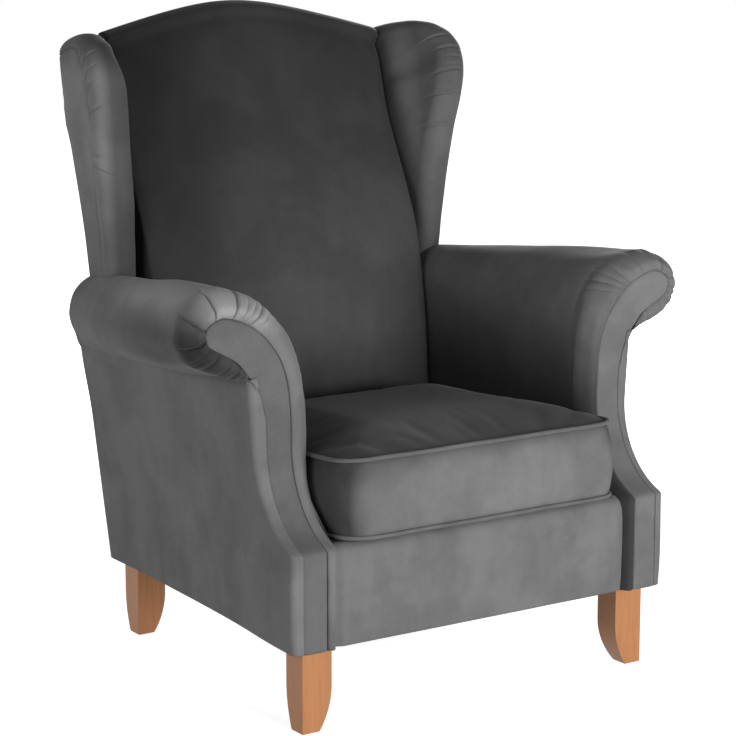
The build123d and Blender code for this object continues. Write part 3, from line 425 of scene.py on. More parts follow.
# cushion: painted shade, the top darker than the front, darker still towards the back where the back and arms
# shade it, and darker on the left
makeVelvet(
    "cushion", 0.98, (rearwards, -0.392, -0.370, 1.0, 0.40), (rearwards, -0.30, 0.10, 1.0, 0.62),
    (rightwards, -0.27, 0.0, 0.82, 1.0),
)
makeVelvet("piping", 0.8)
legWood, frameWood = [makeWood(name, *look) for name, look in woodLook.items()]
foam = makeFoam("foam")
steel = makeSteel("steel_zinc")
lining, webbing, felt, zipTape = [makeWoven(name, *look) for name, look in wovenLook.items()]
slotFinish = {
    "velvet": velvets["outside"], "piping": velvets["piping"], "padding": foam, "lining": lining,
    "felt": felt, "webbing": webbing, "zip": zipTape, "steel": steel,
    "leg_wood": legWood, "frame_wood": frameWood,
}
for part in frame["record"]["subparts"]:
    cadNode = nodes[part["node"]]
    cadNode.data.materials.clear()
    cadNode.data.materials.append(slotFinish[part["material_slot"]])
print("finishes made")


# shared forms of the chair, in metres, right-hand side

sides = (("right", False), ("left", True))
body = {
    "baseFront": -0.388, "headFront": -0.284, "sweepTop": 0.440, "step": 0.292, "floor": 0.135,
    "sideHalf": 0.3346, "sideTaper": tan(radians(2.59)), "sideLean": tan(radians(3.6)),
    "backFoot": 0.272, "backRake": tan(radians(7.1)),
}


def frontY(z):
    # swept front edge of the arm, upright, then an arc out to the step, then upright
    fall = body["sweepTop"] - body["step"]
    reach = body["headFront"] - body["baseFront"]
    radius = (fall * fall + reach * reach) / (2 * reach)
    if z >= body["sweepTop"]:
        return body["headFront"]
    if z <= body["step"]:
        return body["baseFront"]
    return body["headFront"] - radius + sqrt(radius * radius - (body["sweepTop"] - z) ** 2)


def sideX(y, z):
    return body["sideHalf"] - body["sideTaper"] * y + body["sideLean"] * (z - body["floor"])


def backY(z):
    return body["backFoot"] + body["backRake"] * (z - body["floor"])


# arms: inside wall and roll, gathered at the front into the seam of the facing

arm = {
    "wall": 0.277, "low": 0.240, "rear": 0.331, "wallRear": 0.262, "edge": 0.008, "headRun": 0.046,
    # middle and radius of the roll at the head and at its rear end
    "rollFront": (0.404, 0.613, 0.068), "rollRear": (0.307, 0.566, 0.060), "rollEnd": 0.318,
    "wallDrop": 1.38, "shoulder": (0.20, 0.58),  # shares of how far the roll lies over the wall
    # angle round the roll, and the shares there of the fuller tip and of the fuller underside
    "round": ((60, 0.5, 0.0), (30, 1.0, 0.2), (0, 0.8, 0.4), (-19, 0.1, 0.6), (-38, -0.7, 1.0)),
    "fill": 0.009, "frontFill": 0.010, "tip": 0.005, "under": 0.006,
    "hang": 0.0018, "sag": 0.012, "frontSag": 0.003,
    "swellLeft": 0.017, "swellRight": 0.007, "swellAt": (0.455, 0.10),
    "wallDepthLeft": 0.021, "wallDepthRight": 0.030,
    "rollDepth": 0.044, "tipDepth": 0.010, "underDepth": 0.006,
    "crownLeft": (0.010, -0.10, 0.16), "crownRight": (-0.005, -0.23, 0.06),  # lift of the top, middle, width
    "columns": 420, "rings": 56, "bandRings": 34, "capRings": 6, "cloth": 0.003,
    "seamDepth": 0.0028, "ridge": 0.0035, "tuck": 0.010, "tuckIn": 0.004, "wave": 0.0018, "bandWave": 0.0010,
    "pull": 0.0013, "crease": (0.0016, 0.0012), "puff": 0.0036, "gatherRun": 0.045,
    # folds: place at the seam, drift from seam to roll, depth, length on the roll in mm, fullness after it
    "foldsLeft": (
        (4.80, -0.22, 2.0, 4, 0.2), (5.06, -0.30, 4.6, 12, 0.4), (5.28, -0.28, 2.0, 4, 0.3),
        (5.46, -0.20, 2.2, 6, 0.4), (5.74, -0.16, 5.4, 18, 0.9), (7.00, -0.32, 5.8, 20, 1.0),
        (8.50, -0.48, 5.6, 20, 1.0), (9.70, -0.15, 5.0, 14, 0.6), (10.70, 0.0, 2.4, 8, 0.4),
        (11.40, 0.0, 2.8, 12, 0.4), (12.00, 0.0, 2.2, 8, 0.3), (12.50, 0.0, 3.0, 10, 0.3),
        (12.78, 0.0, 2.4, 8, 0.1),
    ),
    "foldsRight": (
        (4.36, -0.26, 1.9, 20, 0.2), (4.54, -0.16, 2.6, 30, 0.2), (4.70, -0.04, 2.6, 28, 0.2),
        (4.88, 0.10, 2.0, 20, 0.3), (5.55, 0.10, 1.6, 8, 0.4), (6.15, 0.05, 1.8, 6, 0.5),
        (7.05, -0.15, 2.6, 8, 0.5), (8.45, -0.10, 2.2, 8, 0.5), (9.35, 0.0, 2.6, 10, 0.4),
        (9.95, 0.0, 2.2, 8, 0.4), (10.85, 0.05, 3.4, 14, 0.5), (12.15, 0.0, 2.4, 8, 0.2),
        (12.62, 0.0, 2.2, 8, 0.2),
    ),
}
arm["rows"] = arm["capRings"] + arm["rings"] + arm["bandRings"] + 1

# inner and outer seam of the facing, the inner one point for point with the outline of the arm
facingInner = (
    (0.300, 0.135), (0.300, 0.330), (0.300, 0.490), (0.311, 0.557), (0.336, 0.600), (0.371, 0.631),
    (0.412, 0.646), (0.431, 0.643), (0.444, 0.635), (0.449, 0.623), (0.446, 0.611), (0.436, 0.601),
    (0.404, 0.583), (0.378, 0.558),
)
facingOuter = (
    (0.344, 0.135), (0.344, 0.290), (0.344, 0.432), (0.345, 0.483), (0.353, 0.517), (0.364, 0.541),
    (0.378, 0.558), (0.391, 0.574), (0.404, 0.583), (0.420, 0.592), (0.436, 0.601), (0.443, 0.606),
    (0.447, 0.614), (0.449, 0.623),
)


def armKeys(y, low):
    # outline of the arm at depth y, from the foot of the inside wall over the roll to the notch under it
    begin = body["headFront"] + arm["headRun"]
    share = max(y - begin, 0.0) / (arm["rollEnd"] - begin)
    xMid, zMid, radius = [between(a, b, share) for a, b in zip(arm["rollFront"], arm["rollRear"])]
    inner = min(share, 1.0)
    wall, top = arm["wall"], zMid + radius
    width = xMid - wall
    wallTop = top - arm["wallDrop"] * width
    across, drop = arm["shoulder"]
    shoulder = Vector((wall + across * width, top - drop * width))
    dx, dz = shoulder.x - wall, shoulder.y - wallTop
    bend = (dx * dx + dz * dz) / (2 * dx)
    angle = atan2(dz, bend - dx)
    rise = Vector((wall + bend - bend * cos(angle / 2), wallTop + bend * sin(angle / 2)))
    # second arc, from the shoulder on to the crown
    chord = Vector((xMid, top)) - shoulder
    half = pi / 2 - angle - atan2(chord.y, chord.x)
    square = Vector((-chord.y, chord.x)).normalized()
    middle = shoulder + chord / 2 + square * 0.5 * chord.length * tan(half / 2)
    front = 1 - ease(0.0, 0.30, inner)
    full = Vector((-0.55, 0.83)) * (arm["fill"] * sin(pi * inner ** 0.6) + arm["frontFill"] * front)
    keys = [
        (wall, low), (wall, (low + wallTop) / 2), (wall, wallTop),
        tuple(rise + full * 0.6), tuple(shoulder + full), tuple(middle + full * 0.7), (xMid, top),
    ]
    for step, more, under in arm["round"]:
        reach = radius + arm["tip"] * more * front + arm["under"] * under * (1 - front)
        keys.append((xMid + reach * cos(radians(step)), zMid + reach * sin(radians(step))))
    notchZ = zMid - radius - arm["sag"] + (arm["sag"] - arm["frontSag"]) * front
    notch = (sideX(y, notchZ) + 0.001, notchZ)
    keys.append(((keys[-1][0] + notch[0]) / 2 + arm["hang"], (keys[-1][1] + notch[1]) / 2 - arm["hang"]))
    keys.append(notch)
    return keys


frontKeys = armKeys(body["headFront"], body["floor"])
armSteps = evenSteps(frontKeys, arm["columns"], lambda t: 1.0 if t < 3.6 else 4.5)
armScale = [hypot(q[0] - p[0], q[1] - p[1]) for p, q in zip(frontKeys, frontKeys[1:])]


def gather(folds, t, across):
    # how far the cloth stands out between folds and is drawn in at them
    # across is 0 at the seam and 1 at the roll
    metres = armScale[min(int(t), len(armScale) - 1)]
    spots = [place + drift * min(across, 1.3) for place, drift, *_ in folds]
    drawn, full = 0.0, 0.0
    for (_, _, depth, length, _), spot in zip(folds, spots):
        away = abs(t - spot) * metres
        fade = 1 - ease(0.4, 0.65 + length / 28, across)
        width = arm["crease"][0] + arm["crease"][1] * across
        pull = depth * arm["pull"] * fade * (0.55 + 0.45 * ease(0.0, 0.35, across))
        drawn = max(drawn, pull * exp(-away / width))
    for (low, high), fold in zip(zip(spots, spots[1:]), folds):
        if low < t < high:
            share = (t - low) / (high - low)
            wide = min((high - low) * metres / 0.030, 1.0)
            full = arm["puff"] * fold[4] * wide * (1 - abs(2 * share - 1) ** 2.4)
    swell = ease(0.0, 0.4, across) * (1 - ease(0.75, 1.7, across))
    return full * swell - drawn


def makeArm(name, mirrored, seed):
    side = "Left" if mirrored else "Right"
    folds, swell, wallDepth = arm["folds" + side], arm["swell" + side], arm["wallDepth" + side]
    lift, liftMiddle, liftWidth = arm["crown" + side]
    keyCache = {}

    def outlineAt(y, low):
        key = (round(y, 3), low)
        if key not in keyCache:
            keyCache[key] = armKeys(key[0], low)
        return keyCache[key]

    def place(column, row):
        t = armSteps[column]
        rollPart = ease(2.6, 4.6, t)
        rear = between(arm["wallRear"], arm["rear"], rollPart)
        start = rear - arm["edge"]
        depth = between(wallDepth, arm["rollDepth"], ease(3.2, 5.0, t))
        depth -= arm["tipDepth"] * ease(6.5, 8.5, t) + arm["underDepth"] * ease(9.5, 12.0, t)
        if row <= arm["capRings"]:  # flat rear end of the roll with a rounded rim
            angle = row / arm["capRings"] * pi / 2
            x, z = curveAt(outlineAt(start, arm["low"]), t)
            xMid, zMid, radius = arm["rollRear"]
            shrink = 1 - arm["edge"] * (1 - sin(angle)) / radius if row else 0.0
            if t < 4.2:
                shrink = max(shrink, 0.6)
            y = start + arm["edge"] * cos(angle) * rollPart
            return Vector((between(xMid, x, shrink), y, between(zMid, z, shrink)))
        ring = row - arm["capRings"]
        low = arm["low"] if ring < arm["rings"] else body["floor"]
        if ring <= arm["rings"]:  # along the arm, rings close up towards the front
            run = 1 - (1 - ring / arm["rings"]) ** 1.5
            y = start
            for _ in range(3):
                x, z = curveAt(outlineAt(y, low), t)
                front = frontY(z)
                y = between(start, front + depth, run)
            across = 1 + (y - front - depth) / arm["gatherRun"]
            move = gather(folds, t, across) if across < 2.4 and t > 3.6 else 0.0
            move += arm["wave"] * waver(t * 1.1, y * 9, seed) * rollPart
            move += lift * bump(t, 6.4, 1.2) * bump(y, liftMiddle, liftWidth)
            away = Vector((x - arm["rollFront"][0] - 0.012, z - arm["rollFront"][1])).normalized()
            near = 1 - ease(0.0, 0.16, y - front)
            bulge = swell * bump(z, *arm["swellAt"]) * near * (1 - rollPart)
            return Vector((x + away.x * move - bulge, y, z + away.y * move))
        w = min((ring - arm["rings"]) / arm["bandRings"], 1.0)
        px, pz = curveAt(frontKeys, t)
        fx, fz = curveAt(facingInner, t)
        away = Vector((px - fx, pz - fz))
        reach = away.length
        away = away.normalized() if reach else away
        if ring > arm["rings"] + arm["bandRings"]:  # tucked in behind the facing
            tucked = arm["tuckIn"]
            return Vector((fx - away.x * tucked, frontY(fz) + arm["tuck"], fz - away.y * tucked))
        angle = min(w / 0.82, 1.0) * pi / 2
        inwards = 0.80 * (1 - cos(angle)) + 0.20 * ease(0.70, 1.0, w)
        x, z = between(px, fx, inwards), between(pz, fz, inwards)
        ridge = arm["ridge"] * sin(pi * ease(0.35, 1.0, w))
        forward = depth * (1 - sin(angle)) - ridge + arm["seamDepth"] * ease(0.93, 1.0, w)
        move = gather(folds, t, 1 - w) if t > 3.6 else 0.0
        move += arm["bandWave"] * waver(t * 5, w * 2, seed + 4) * (1 - ease(0.85, 1.0, w))
        move += lift * bump(t, 6.4, 1.2) * bump(frontY(z) + depth, liftMiddle, liftWidth) * (1 - w)
        turn = ease(0.0, 0.75, w) * pi / 2
        bulge = swell * bump(z, *arm["swellAt"]) * (1 - rollPart) * (1 - w)
        return Vector((
            x + away.x * move * cos(turn) - bulge,
            frontY(z) + forward - move * sin(turn),
            z + away.y * move * cos(turn),
        ))

    return makeCover(name, arm, place, (0.345, -0.05, 0.48), mirrored)


for side, mirrored in sides:
    piece = makeArm(side + "ArmCover", mirrored, 3.0 + mirrored)
    dressPiece(
        piece, velvets["arm_" + side], side + "_arm_cover", side + "_arm_pad", side + "_front_band",
    )
print("arms made")


# facings on the fronts of the arms, flat between their two seams

facing = {
    "rows": 150, "columns": 24, "crown": 0.0020, "crownRun": 0.012, "tuck": 0.010, "cloth": 0.003,
    "wave": 0.0009, "seam": 0.0022, "faint": 0.75,  # width of the seams, how much fainter the outer one is
    "tip": 9,  # point of the inner seam that is the tip of the head
}
facingSteps = evenSteps(facingInner[:facing["tip"] + 1], facing["rows"])


def makeFacing(name, mirrored, seed):
    outerScale = (len(facingOuter) - 1) / facing["tip"]
    tipX, tipZ = facingOuter[-1]

    def place(column, row):
        # the first and last column are tucked in behind the seams, the others close up towards them
        inside = min(max((column - 1) / (facing["columns"] - 2), 0.0), 1.0)
        u = 0.5 - 0.5 * cos(pi * inside)
        t = facingSteps[row]
        ix, iz = curveAt(facingInner, t)
        ox, oz = curveAt(facingOuter, t * outerScale)
        x, z = between(ix, ox, u), between(iz, oz, u)
        edge = min(min(u, 1 - u) * hypot(ox - ix, oz - iz), hypot(x - tipX, z - tipZ))
        faint = 1 - facing["faint"] * ease(0.3, 0.7, u)
        sink = arm["seamDepth"] * faint * (1 - ease(0.0, facing["seam"], edge))
        if column in (0, facing["columns"]):
            sink = facing["tuck"]
        soft = facing["wave"] * waver(x * 22, z * 14, seed)
        crown = facing["crown"] * ease(0.0, facing["crownRun"], edge)
        return Vector((x, frontY(z) + sink - crown - soft, z))

    return makeCover(name, facing, place, (0.345, 0.4, 0.40), mirrored)


for side, mirrored in sides:
    piece = makeFacing(side + "Facing", mirrored, 11.0 + mirrored)
    dressPiece(piece, velvets["facing"], side + "_arm_facing")
print("facings made")


# outside arms, from behind the outside back round both corners to the seam of the facing

outside = {
    "rows": 120, "columns": 144, "cloth": 0.003, "wave": 0.0016, "tuck": 0.004, "lap": 0.004,
    "wrap": 26, "corner": 0.012, "cornerShare": 0.45, "crown": 0.0012, "faint": 0.25, "kick": 0.008,
    "rearWrap": 14, "rearCorner": 0.007, "rearFlat": 0.4, "rearRun": 0.050, "rearRise": 0.05,
    "rearFull": 0.006, "rearTop": 0.005,
}


def outerSeamX(z):
    for (xa, za), (xb, zb) in zip(facingOuter, facingOuter[1:7]):
        if z <= zb:
            return xa + (xb - xa) * (z - za) / (zb - za)
    return facingOuter[6][0]


def panelX(y, z):
    # outer side with a fuller foot at the front and a fuller rear edge
    kick = outside["kick"] * (1 - ease(0.16, 0.32, z)) * (1 - ease(-0.36, -0.10, y))
    full = outside["rearFull"] + outside["rearTop"] * ease(0.38, 0.50, z)
    return sideX(y, z) + kick + full * ease(0.10, 0.28, y)


def makeOutsideArm(name, mirrored, seed):
    def place(column, row):
        v = row / outside["rows"]
        frontTop = arm["rollFront"][1] - arm["rollFront"][2] + outside["lap"]
        rearTop = arm["rollRear"][1] - arm["rollRear"][2] + outside["lap"]
        flat = outside["columns"] - outside["wrap"]
        u = min(max((column - outside["rearWrap"]) / (flat - outside["rearWrap"]), 0.0), 1.0)
        k, rearFlat = column / outside["rearWrap"], outside["rearFlat"]
        rise = outside["rearRise"] * (1 - ease(rearFlat, 1.0, k))
        z = body["floor"] + v * (rearTop + (frontTop - rearTop) * u + rise - body["floor"])
        front = frontY(z)
        turn = outside["corner"]
        rearY = backY(z) - 0.0005
        bend = outside["rearCorner"]
        if column < outside["rearWrap"]:  # behind the edge of the outside back, then round the corner
            corner = panelX(rearY, z)
            if k < rearFlat:
                return Vector((corner - bend - outside["rearRun"] * (1 - k / rearFlat), rearY, z))
            angle = (k - rearFlat) / (1 - rearFlat) * pi / 2
            return Vector((corner - bend + bend * sin(angle), rearY - bend + bend * cos(angle), z))
        if column <= flat:
            y = rearY - bend + (front + turn - rearY + bend) * u
            soft = outside["wave"] * waver(y * 7, z * 7, seed)
            tuck = outside["tuck"] * ease(0.955, 1.0, v)
            return Vector((panelX(y, z) + soft - tuck, y, z))
        w, share = (column - flat) / outside["wrap"], outside["cornerShare"]
        corner = panelX(front, z)
        seam = min(outerSeamX(z), corner - 0.003)
        if w < share:
            angle = w / share * pi / 2
            return Vector((corner - turn + turn * cos(angle), front + turn - turn * sin(angle), z))
        if column == outside["columns"]:
            return Vector((seam - arm["tuckIn"], front + facing["tuck"], z))
        k = (w - share) / (1 - 1 / outside["wrap"] - share)
        x = corner - turn + (seam - corner + turn) * sin(pi / 2 * k)
        sink = outside["faint"] * arm["seamDepth"] * ease(0.86, 1.0, k)
        return Vector((x, front - outside["crown"] * sin(pi * k) + sink, z))

    return makeCover(name, outside, place, (0.1, 0.1, 0.35), mirrored)


for side, mirrored in sides:
    piece = makeOutsideArm(side + "OutsideArm", mirrored, 21.0 + mirrored)
    dressPiece(piece, velvets["outside"], side + "_outside_arm")
print("outside arms made")


# wings: outer panel, seam, and the cover gathered over the front edge

wing = {
    "foot": Vector((0.318, 0.239, 0.640)), "yaw": radians(12.1), "tilt": radians(3.6),
    "inner": 0.030, "innerLow": 0.005, "innerTop": -0.009, "outerLow": 0.021, "outerTop": 0.030,
    "rearFull": 0.008, "rearFill": 0.026, "rearGap": 0.001, "rearRun": 0.030, "proud": 0.012,
    "beside": 0.2757, "ease": 0.012, "cap": 0.004, "cloth": 0.003, "wave": 0.0013, "puff": 0.002,
    # front edge and top in depth and height, and the height at the back that each point runs to
    "outline": (
        (0.219, 0.596), (0.216, 0.660), (0.212, 0.730), (0.202, 0.840), (0.189, 0.920), (0.190, 0.962),
        (0.202, 0.994), (0.225, 1.017), (0.256, 1.030), (0.294, 1.035), (0.340, 1.031), (0.384, 1.022),
    ),
    "rearZ": (0.596, 0.660, 0.730, 0.820, 0.862, 0.882, 0.898, 0.911, 0.922, 0.932, 0.940, 0.946),
    "rows": 300, "capRows": 5, "columns": 130, "wrapShare": 0.05, "seamShare": 0.28,
    "seam": 0.015, "seamTop": 0.020, "groove": 0.0034, "grooveWidth": 0.0024,
    # folds: height along the outline, depth and width in mm, start and end in mm from the seam, slant
    "foldsLeft": (
        (2.92, 3.4, 2.4, 0, 70, -0.30), (3.10, 2.4, 2.0, 0, 50, -0.10), (3.60, 2.0, 2.0, 6, 32, 0.05),
        (4.00, 3.2, 2.2, 0, 58, 0.20), (4.14, 2.0, 2.0, 0, 40, 0.15), (4.95, 3.2, 2.2, 0, 52, 0.45),
        (5.30, 2.0, 2.0, 4, 42, 0.40), (5.75, 3.2, 2.2, 0, 66, 0.35), (6.60, 2.8, 2.2, 0, 66, 0.30),
        (7.30, 1.8, 2.2, 2, 46, 0.30),
    ),
    "foldsRight": (
        (3.20, 3.0, 3.0, 52, 140, -0.05), (3.92, 3.0, 3.0, 54, 146, 0.0), (4.06, 1.6, 2.4, 66, 120, 0.05),
        (4.80, 3.0, 3.0, 54, 142, 0.10), (4.98, 1.6, 2.4, 60, 110, 0.15), (5.35, 1.8, 2.6, 58, 110, 0.25),
        (5.90, 2.6, 2.8, 58, 128, 0.35), (6.75, 2.4, 2.8, 54, 124, 0.50),
    ),
}


def makeWing(name, mirrored, seed):
    folds = wing["foldsLeft" if mirrored else "foldsRight"]
    yaw, tilt, groove = wing["yaw"], wing["tilt"], wing["grooveWidth"]
    normal = Vector((cos(yaw) * cos(tilt), sin(yaw) * cos(tilt), -sin(tilt)))
    rows = wing["rows"] - wing["capRows"]
    steps = evenSteps(wing["outline"], rows, lambda t: 3.0 if 2.6 < t < 7.6 else 1.0)
    scale = [hypot(q[0] - p[0], q[1] - p[1]) for p, q in zip(wing["outline"], wing["outline"][1:])]
    steps += [steps[-1]] * wing["capRows"]

    def onPlane(y, z):
        foot = wing["foot"]
        return Vector((foot.x - (normal.y * (y - foot.y) + normal.z * (z - foot.z)) / normal.x, y, z))

    def place(column, row):
        t = steps[row]
        edgeY, edgeZ = curveAt(wing["outline"], t)
        edge = onPlane(edgeY, edgeZ)
        rearZ = curveAt([(z, 0.0) for z in wing["rearZ"]], t)[0]
        rear = onPlane(backY(rearZ) - wing["rearGap"], rearZ)
        along = edge - rear
        length = along.length
        along = along.normalized()
        upper = ease(0.66, 0.93, 0.5 * (edgeZ + rearZ))
        outer = between(wing["outerLow"], wing["outerTop"], upper)
        within = wing["inner"] + wing["innerLow"] * bump(t, 2.4, 1.0)
        within += wing["innerTop"] * ease(4.8, 6.5, t)
        half, middle = (outer + within) / 2, (outer - within) / 2
        # the seam lies on the outer side, and comes up to the rim at the top
        fromRim = wing["seam"] + wing["seamTop"] * ease(3.2, 6.2, t)
        seamBack = min(half + fromRim * (1 - ease(5.8, 8.8, t)), length * 0.55)
        w = column / wing["columns"]
        move, lean = 0.0, Vector((0.0, 1.0))
        wrap = 0.0
        if w < wing["seamShare"]:  # outer panel, turned in along the back
            k = (w - wing["wrapShare"]) / (wing["seamShare"] - wing["wrapShare"])
            reach = (length - seamBack) * (1 - (1 - max(k, 0.0)) ** 1.7)
            side = half
            wrap = wing["rearRun"] * min(max(-k, 0.0) * (wing["seamShare"] / wing["wrapShare"] - 1), 1.0)
            move = -wing["groove"] * bump(length - seamBack - reach, 0.0, groove)
        else:  # gathered cover round the edge and back along the inner face
            k = (w - wing["seamShare"]) / (1 - wing["seamShare"])
            straight = max(seamBack - half, 0.0)
            arc = pi * half
            inner = max(length - half, 0.0)
            run = k ** 1.2 * (straight + arc + inner)
            if run < straight:
                reach, side = length - seamBack + run, half
            elif run < straight + arc:
                angle = (run - straight) / half
                reach, side = length - half + half * sin(angle), half * cos(angle)
                lean = Vector((sin(angle), cos(angle)))
            else:
                reach, side = inner - (run - straight - arc), -half
                lean = Vector((0.0, -1.0))
            drawn = 0.0
            metres = scale[min(int(t), len(scale) - 1)]
            for height, depth, width, first, last, slant in folds:
                far = (run * 1000 - first) / (last - first)
                if 0 < far < 1:
                    off = (t - height - slant * far) * metres * 1000 / width
                    fade = ease(0.0, 0.10, far) * (1 - ease(0.45, 1.0, far))
                    drawn += depth * 0.001 * fade * (exp(-off * off) - 0.35 * exp(-(off - 2.0) ** 2))
            puff = wing["puff"] * sin(pi * min(k * 1.6, 1.0))
            move = puff - drawn - wing["groove"] * bump(run, 0.0, groove)
        move += wing["wave"] * waver(t * 1.3, w * 4, seed) * ease(0.05, 0.20, w)
        reach += lean.x * move
        side += lean.y * move
        full = wing["rearFull"] * (0.6 + 0.4 * ease(3.2, 5.0, t)) * (1 - ease(0.03, 0.11, reach))
        filled = wing["rearFill"] * ease(1.5, 5.0, t) * (1 - ease(0.04, 0.13, reach))
        side += full * max(lean.y, 0.0) - filled * max(-lean.y, 0.0) - wrap
        cap = max(row - rows, 0) / wing["capRows"] * pi / 2
        side *= cos(cap)
        spot = rear + along * reach + normal * (side + middle) + Vector((0, wing["cap"] * sin(cap), 0))
        # the inner face eases on to the side of the back
        beside, soft = spot.x - wing["beside"], wing["ease"]
        if beside < soft:
            spot.x = wing["beside"] + max(beside + soft, 0.0) ** 2 / (4 * soft)
        spot.y = min(spot.y, backY(spot.z) - 0.0005 + wing["proud"] * (1 - ease(3.0, 9.0, t)))
        return spot

    return makeCover(name, wing, place, (0.330, 0.300, 0.80), mirrored)


for side, mirrored in sides:
    piece = makeWing(side + "WingCover", mirrored, 31.0 + mirrored)
    dressPiece(piece, velvets["wing_" + side], side + "_wing_cover", side + "_wing_pad")
print("wings made")


# inside back, over the camel crest and down behind it

back = {
    "half": 0.275, "crown": 0.020, "low": 0.250,
    "crest": 1.080, "fall": 0.285, "soft": 0.034, "shift": -0.016, "roll": 0.060, "round": 0.024,
    "columns": 132, "rows": 170, "side": 12, "cloth": 0.003, "wave": 0.0022,
    "seam": 0.008, "seamWidth": 0.014, "wrap": 0.085, "wrapGap": 0.010, "crestGap": 0.012,
}


def crestZ(x):
    return back["crest"] + back["soft"] - hypot(back["soft"], back["fall"] * (x - back["shift"]))


def backKeys(swell, top):
    # profile of the inside back, from under the cushion up over the crest and down behind it
    neck = top - back["roll"]
    neckY = 0.297 + 0.312 * (neck - 0.875)
    rear = backY(top - back["round"]) - 0.0005
    return [
        (0.148 - swell, back["low"]), (0.163 - swell, 0.400), (0.177 - swell, 0.540), (0.199 - swell, 0.657),
        (0.232 - swell, 0.740), (0.264 - swell, 0.805), (0.297 - swell, 0.875), (neckY - swell, neck),
        (neckY - swell + 0.018, neck + 0.034), (rear - 0.042, top - 0.009), (rear - 0.018, top),
        (rear - 0.003, top - 0.005), (rear, top - back["round"]), (rear - 0.004, top - 0.05),
    ]


backSteps = evenSteps(backKeys(back["crown"], back["crest"]), back["rows"])


def makeInsideBack(name, seed):
    def place(column, row):
        share = (column - back["side"]) / (back["columns"] - 2 * back["side"]) * 2 - 1
        wrap = max(abs(share) - 1, 0.0) * (back["columns"] - 2 * back["side"]) / 2 / back["side"]
        share = min(max(share, -1.0), 1.0)
        x = share * back["half"]
        t = backSteps[row]
        y, z = curveAt(backKeys(back["crown"] * (1 - share * share), crestZ(x)), t)
        soft = back["wave"] * waver(x * 6, z * 6, seed)
        edge = back["half"] * (1 - abs(share))
        sunk = back["seam"] * (1 - ease(0.0, back["seamWidth"], edge))
        front = 1 - ease(7.5, 9.0, t)
        y += (soft + sunk) * front
        # the sides turn back along the wings, and close the ends of the crest
        hidden = crestZ(x) - back["roll"]
        deepY = min(y + back["wrap"], max(backY(z) - back["wrapGap"], y)) * front
        deepY += (backY(hidden) - back["crestGap"]) * (1 - front)
        deepZ = z * front + hidden * (1 - front)
        return Vector((x - 0.0008 * share * (wrap > 0), between(y, deepY, wrap), between(z, deepZ, wrap)))

    return makeCover(name, back, place, (0.0, 0.5, 0.6))


piece = makeInsideBack("insideBack", 41.0)
dressPiece(piece, velvets["back"], "inside_back_cover", "back_pad")
print("inside back made")


# outside back, a flat panel with eased edges

outsideBack = {"edge": 0.0022, "segments": 3, "shoulder": (0.930, 0.985), "drawIn": 0.016}
shape = nodeShape("outside_back")
for corner in shape.verts:
    corner.co.x *= 1 - outsideBack["drawIn"] * ease(*outsideBack["shoulder"], corner.co.z)
easeEdges(shape, outsideBack["edge"], outsideBack["segments"], radians(40))
piece = makePiece("outsideBack", shape)
dressPiece(piece, velvets["outside"], "outside_back")
print("outside back made")


# front border under the cushion

border = {"half": 0.2835, "columns": 120, "rows": 60, "cloth": 0.003, "seam": 0.005, "wave": 0.0012}
borderKeys = (
    (-0.362, 0.136), (-0.380, 0.1355), (-0.382, 0.142), (-0.3838, 0.200), (-0.3836, 0.250), (-0.382, 0.274),
    (-0.378, 0.2865), (-0.370, 0.2925), (-0.3622, 0.2942), (-0.352, 0.2940),
)


def makeBorder(name, seed):
    steps = evenSteps(borderKeys, border["rows"])

    def place(column, row):
        x = (column / border["columns"] * 2 - 1) * border["half"]
        y, z = curveAt(borderKeys, steps[row])
        edge = border["half"] - abs(x)
        sunk = border["seam"] * (1 - ease(0.004, 0.016, edge))
        soft = border["wave"] * waver(x * 9, z * 9, seed)
        return Vector((x, y + sunk + soft, z))

    return makeCover(name, border, place, (0.0, 0.0, 0.21))


piece = makeBorder("frontBorder", 51.0)
dressPiece(piece, velvets["border"], "front_border_cover", "front_border_pad")
print("border made")


# loose cushion: a plump boxed form, blown up by the cloth solver between its two piped seams

cushion = {
    "front": -0.3895, "rear": 0.1205, "right": 0.2680, "left": 0.2575, "box": 0.125,
    "crown": 0.028, "crownRun": 0.15, "bulge": 0.006, "frontBulge": 0.009,
    "frontRound": 0.046, "rearRound": 0.020,
    "slope": radians(4.0), "deckFront": 0.296, "railFront": -0.3617, "rest": 0.0004,
    "voxel": 0.006, "frames": 16, "most": 0.010,  # size of the faces, frames of the solver, most it may move
    "cloth": {
        "quality": 5, "mass": 0.3, "tension_stiffness": 18, "compression_stiffness": 18, "shear_stiffness": 8,
        "bending_stiffness": 2.5, "use_pressure": True, "uniform_pressure_force": 1.6, "shrink_min": -0.012,
        "vertex_group_mass": "pins",
    },
}
seatOrigin = cushion["deckFront"] + tan(cushion["slope"]) * cushion["railFront"] + cushion["rest"]
seatCos, seatSin = cos(cushion["slope"]), sin(cushion["slope"])


def seatToChair(x, y, height):
    # the cushion lies on a deck that falls towards the back
    return Vector((x, y * seatCos + height * seatSin, seatOrigin - y * seatSin + height * seatCos))


def chairToSeat(spot):
    up = spot.z - seatOrigin
    return spot.x, spot.y * seatCos - up * seatSin, spot.y * seatSin + up * seatCos


